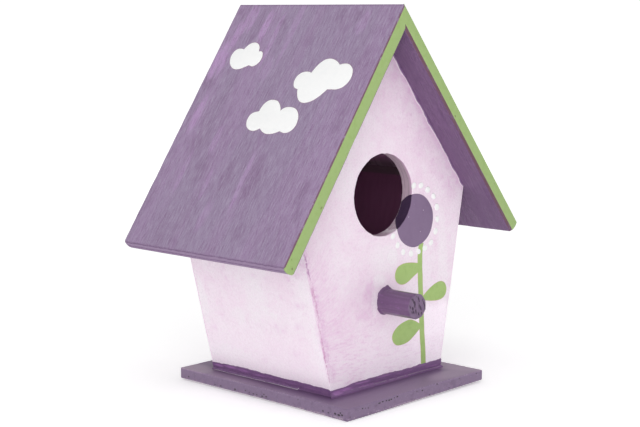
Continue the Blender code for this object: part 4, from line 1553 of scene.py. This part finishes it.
def corner_seam(paint):
    """The broken dark line down the front wall's left arris, with the reddish smudges beside it."""
    wall = WALLS["left"]
    lean = -wall.normal.z / abs(wall.normal.x)
    inside = paint.x + paint.z * lean + wall.half_width(0)
    fray = paint.lumps(700, 3, 73.0, 0.7)
    paint.coat(paint.patches(inside, paint.z, SEAM_SMUDGES, fray) * paint.step(fray, 0.35, 0.65), ROSE)
    swell = paint.noise(paint.z, paint.y, paint.y, (420, 0, 0), 3, 75.0, 0.7)
    sway = paint.noise(paint.z, paint.y, paint.y, (190, 0, 0), 3, 71.0, 0.6)
    offset = sway * (2.4 * MM) - 0.75 * MM
    colour = paint.blend(paint.step(paint.z, 47 * MM, 53 * MM), SEAM_ROSE, SEAM_MAGENTA)
    for shift, table in SEAM_STRANDS:
        present = paint.patches(paint.x, paint.z, table, swell)
        across = abs(inside - (offset + shift * MM))
        half = present * paint.step(swell, 0.25, 0.75, 0.62 * MM)
        line = paint.step(across - half, 0.34 * MM, -0.22 * MM) * paint.step(fray, 0.28, 0.50)
        paint.coat(line * paint.step(present, 0.05, 0.5, 0.85), colour)


def inside_paint():
    """Bare ply inside, darkened by the stain that ran through, with a painted shadow strip just under the
    roof.
    """
    paint = Paint("inside_plum", 0.8, 0.1)
    fibres = paint.lumps((500, 500, 60), 3, 81.0)
    paint.tone = paint.blend(paint.step(fibres, 0.35, 0.65), INSIDE_PLY, INSIDE_PLY_PALE)
    # Painted shadow: a dark strip a few mm below the roof.
    below_apex = abs(paint.x) * ROOFS["right"].tangent + paint.z
    joint = ROOFS["right"].underside(0) - 4.0 * MM
    paint.coat(paint.step(below_apex, joint - 0.3 * MM, joint + 0.3 * MM, 0.9), INSIDE_PAINTED_SHADOW)
    return paint.finish(fibres, 0.05 * MM)


def bore_paint():
    """The cut wall of the entry hole: greyish pink ply, with the outer coat turned in over its lip."""
    paint = Paint("bore_pink", 0.7, 0.2)
    deep = paint.y - FRONT_Y
    fibres = paint.lumps((110, 2300, 110), 3, 83.0)
    paint.tone = paint.blend(paint.step(fibres, 0.30, 0.70), BORE_DARK, BORE_PALE)
    lip = paint.step(deep + fibres * (1.0 * MM), 1.9 * MM, 1.2 * MM, 0.9)
    paint.coat(lip, BORE_LIP)
    for ply in (0.35, 0.68):
        paint.coat(paint.band(deep, GABLE_THICKNESS * ply, 0.08 * MM, 0.15 * MM, 0.35), BORE_PLY)
    smears = paint.lumps((260, 260, 260), 3, 85.0, 0.7)
    smeared = paint.patches(paint.x, paint.z, BORE_SMEARS, smears)
    paint.coat(smeared * paint.step(smears, 0.45, 0.62), BORE_SMEAR)
    return paint.finish(fibres, 0.05 * MM)


def flat_paint(name, roughness=0.5, pits=None, specks=()):
    """An even coat with a faint mottle. It may have pits (front ends of the roof) or specks (front wall)."""
    colour, dark, pale = COATS[name]
    paint = Paint(name, roughness)
    mottle = paint.lumps(420, 3, 91.0)
    grain = paint.lumps(1500, 2, 93.0)
    paint.tone = paint.blend(paint.step(mottle, 0.45, 0.75, 0.5), colour, dark)
    paint.coat(paint.step(grain, 0.55, 0.80, 0.5), pale)
    for panel, table in (pits or {}).items():
        roof = ROOFS[panel]
        down = paint.along(roof.down, roof.down.z * roof.ridge_z)
        depth = -paint.along(roof.normal, roof.offset)
        # Painted shade: dark patches stand for the hollows of the pits.
        paint.coat(paint.patches(down, depth, table, grain), GREEN_PIT)
    if specks:
        paint.coat(paint.patches(paint.x, paint.z, specks, grain), SPECK)
    return paint.finish(grain, 0.03 * MM)


def plum_paint(name, run, across, third, colour=PLUM):
    """Thick plum paint with redder glints, brushed along the run: x, y or z."""
    paint = Paint(name, 0.36, 0.45)
    axes = {"x": paint.x, "y": paint.y, "z": paint.z}
    hairs, streaks, grain = brush_marks(paint, axes[run], axes[across], axes[third], 101.0)
    paint.tone = colour
    brushed(paint, hairs, streaks, grain, PLUM_PALE, PLUM_DARK, 0.6)
    glint = paint.noise(axes[run], axes[across], axes[third], (260, 700, 700), 2, 103.0)
    paint.coat(paint.step(glint, 0.60, 0.74, 0.45), PLUM_GLINT)
    relief = hairs * 0.5 + streaks * 0.5
    return paint, relief


# Painted highlights on the glossy foot band: (along the wall, up, half length, half height, strength), in mm.
BAND_FRONT_HIGHLIGHTS = [
    (-28, 5.6, 2.6, 0.8, 1.0), (-23, 6.1, 4.0, 0.5, 0.9), (-14, 6.9, 5.0, 0.35, 0.9),
    (-12, 5.6, 5.0, 0.3, 0.5),
    (-2, 7.1, 5.0, 0.3, 0.7), (10, 6.6, 5.0, 0.35, 0.6), (20, 7.2, 5.0, 0.3, 0.5), (26, 6.0, 4.0, 0.3, 0.4),
]
BAND_LEFT_HIGHLIGHTS = [
    (32, 6.6, 3.0, 0.5, 1.0), (25, 7.0, 4.0, 0.6, 1.0), (17, 6.8, 4.0, 0.7, 0.9), (8, 6.3, 4.0, 0.5, 0.7),
    (0, 6.6, 4.0, 0.3, 0.4), (-10, 6.3, 5.0, 0.3, 0.4), (-22, 6.0, 5.0, 0.3, 0.5),
]


def band_paint():
    """Thick glossy plum with brighter streaks of painted highlight on its ridges."""
    paint, relief = plum_paint("foot_plum", "x", "y", "z", BAND)
    fray = paint.lumps((160, 160, 1100), 3, 107.0)
    on_front = paint.step(paint.y, FRONT_Y + 0.05 * MM, FRONT_Y - 0.05 * MM)
    in_front = on_front * paint.patches(paint.x, paint.z, BAND_FRONT_HIGHLIGHTS, fray)
    on_left = paint.step(paint.x, -20 * MM, -24 * MM) * (1.0 - on_front)
    at_left = on_left * paint.patches(paint.y, paint.z, BAND_LEFT_HIGHLIGHTS, fray)
    # Painted highlights on the band's glossy ridges.
    band_highlights = paint.most(in_front, at_left) * paint.step(fray, 0.25, 0.6)
    paint.coat(band_highlights, BAND_PAINTED_HIGHLIGHT)
    return paint.finish(relief, 0.10 * MM)


def perch_paint():
    """Plum along the dowel, and greyer with dark open grain on its end."""
    paint, relief = plum_paint("perch_plum", "y", "x", "z")
    on_end = paint.step(paint.y, PERCH_END_Y - 0.15 * MM, PERCH_END_Y - 0.4 * MM)
    fray = paint.lumps((1300, 1300, 500), 2, 105.0)
    face = paint.blend(paint.step(fray, 0.35, 0.65), DOWEL_END, DOWEL_END_PALE)
    leaning = paint.x + GRAIN_LEAN * (paint.z - PERCH.z)
    dashes = paint.patches(leaning, paint.z, PERCH_GRAIN, fray)
    face = paint.blend(paint.step(dashes, 0.15, 0.60), face, DOWEL_GRAIN)
    paint.coat(on_end, face)
    return paint.finish(relief, 0.08 * MM)


def steel():
    paint = Paint("drawn_steel", 0.35)
    paint.shader["Metallic"].default_value = 1.0
    lines = paint.lumps(3000, 2)
    paint.tone = paint.blend(lines, STEEL, STEEL_PALE)
    return paint.finish(lines, 0.01 * MM)


# ---- The stage --------------------------------------------------------------------------------------


SENSOR, LENS = 36, 91.45  # the camera's, in mm
CAMERA_PLACE = (-0.44307, -0.45982, 0.16336)
CAMERA_TURN = (-43.74, 90 - 8.52, -1.48)  # pan, tilt and roll in degrees


def make_camera():
    """The camera, in front and to the left of the house and a little above it."""
    data = bpy.data.cameras.new("camera")
    data.sensor_width, data.lens = SENSOR, LENS
    data.clip_start, data.clip_end = 0.01, 100
    camera = in_scene("camera", data)
    pan, tilt, roll = (math.radians(angle) for angle in CAMERA_TURN)
    turn = Matrix.Rotation(pan, 4, "Z") @ Matrix.Rotation(tilt, 4, "X") @ Matrix.Rotation(roll, 4, "Z")
    camera.matrix_world = Matrix.Translation(CAMERA_PLACE) @ turn
    bpy.context.scene.camera = camera


def area_light(name, place, size, power):
    """A soft square light that faces the house."""
    data = bpy.data.lights.new(name, "AREA")
    data.size = size
    data.energy = power
    light = in_scene(name, data)
    light.location = place
    light.rotation_euler = (Vector((0, 0, 0.07)) - Vector(place)).to_track_quat("-Z", "Y").to_euler()


def make_stage():
    bm = bmesh.new()
    bmesh.ops.create_grid(bm, x_segments=8, y_segments=8, size=25)
    mesh = bpy.data.meshes.new("floor")
    bm.to_mesh(mesh)
    bm.free()
    floor = in_scene("floor", mesh)
    floor.location.z = FLOOR_Z - 0.75 * MM
    paint = Paint("floor_white", 0.9)
    paint.shader["Base Color"].default_value = (0.93, 0.93, 0.93, 1)
    paint.shader["Emission Color"].default_value = (1, 1, 1, 1)
    from_house = paint.node("ShaderNodeVectorMath", "Value", {0: paint.place}, operation="LENGTH")
    paint.feed(paint.shader["Emission Strength"], paint.step(from_house, 0.10, 0.8, 0.25) + 0.32)
    mesh.materials.append(paint.material)
    world = bpy.data.worlds.new("studio")
    bpy.context.scene.world = world
    world.use_nodes = True
    world.node_tree.nodes["Background"].inputs["Color"].default_value = (1, 1, 1, 1)
    world.node_tree.nodes["Background"].inputs["Strength"].default_value = 0.55
    area_light("key", (-1.3, -1.2, 0.42), 1.4, 13.8)
    area_light("top", (-0.6, -0.5, 1.8), 1.4, 8)
    bpy.context.scene.view_settings.view_transform = "Standard"


# ---- The house --------------------------------------------------------------------------------------

make_camera()
make_stage()

inside = inside_paint()
front_lilac = wall_paint("lilac_front", True, FRONT_PINK, FRONT_PALE, True)
left_lilac = wall_paint("lilac_left", False, LEFT_PINK, LEFT_PALE, False)
right_lilac = wall_paint("lilac_right", False, RIGHT_PINK, RIGHT_PALE, False)
back_lilac = wall_paint("lilac_back", True, BACK_PINK, BACK_PALE, False)
band = band_paint()
ridge_lilac = flat_paint("ridge_lilac")
perch_coat = perch_paint()
green = flat_paint("leaf_green", 0.45)
edge_green = flat_paint("edge_green", 0.45, GREEN_PITS)
white = flat_paint("cloud_white")
disc = flat_paint("flower_purple", specks=SPECKS)
disc_in_hole = flat_paint("flower_shaded")

base_board(base_paint())
roof_board("left", roof_paint("left"))
roof_board("right", roof_paint("right"))
side_board("left", [left_lilac, inside])
side_board("right", [right_lilac, inside])
gable_board("wall_front", "front_wall", FRONT_Y, 1, ENTRY_RADIUS, [front_lilac, inside, bore_paint()])
gable_board("wall_back", "back_wall", BACK_Y, -1, 0.0, [back_lilac, inside])
make_green_edge("left", edge_green)
make_green_edge("right", edge_green)
make_foot_band(band)
make_foot_bead(band)
torn_edge_and_highlight = flat_paint("torn_plum_left")
bead_highlight_paint = flat_paint("torn_plum_front")
make_bead_edge("bead_edge", BEAD_EDGE, torn_edge_and_highlight)
make_bead_edge("bead_edge_front", front_bead_highlight(), bead_highlight_paint)
make_corner_ridges(front_lilac)
make_gable_seams(band, ridge_lilac)
make_perch(perch_coat)
make_perch_collar(perch_coat)
make_clouds(white, flat_paint("cloud_edge"))
leaf_edge = flat_paint("leaf_edge")
make_flower(disc, white, green, leaf_edge)
make_bore_paint(disc_in_hole)

pin_finish = steel()
for name, node in frame["nodes"].items():
    if "_pin_" in name:
        node.data.materials.clear()
        node.data.materials.append(pin_finish)
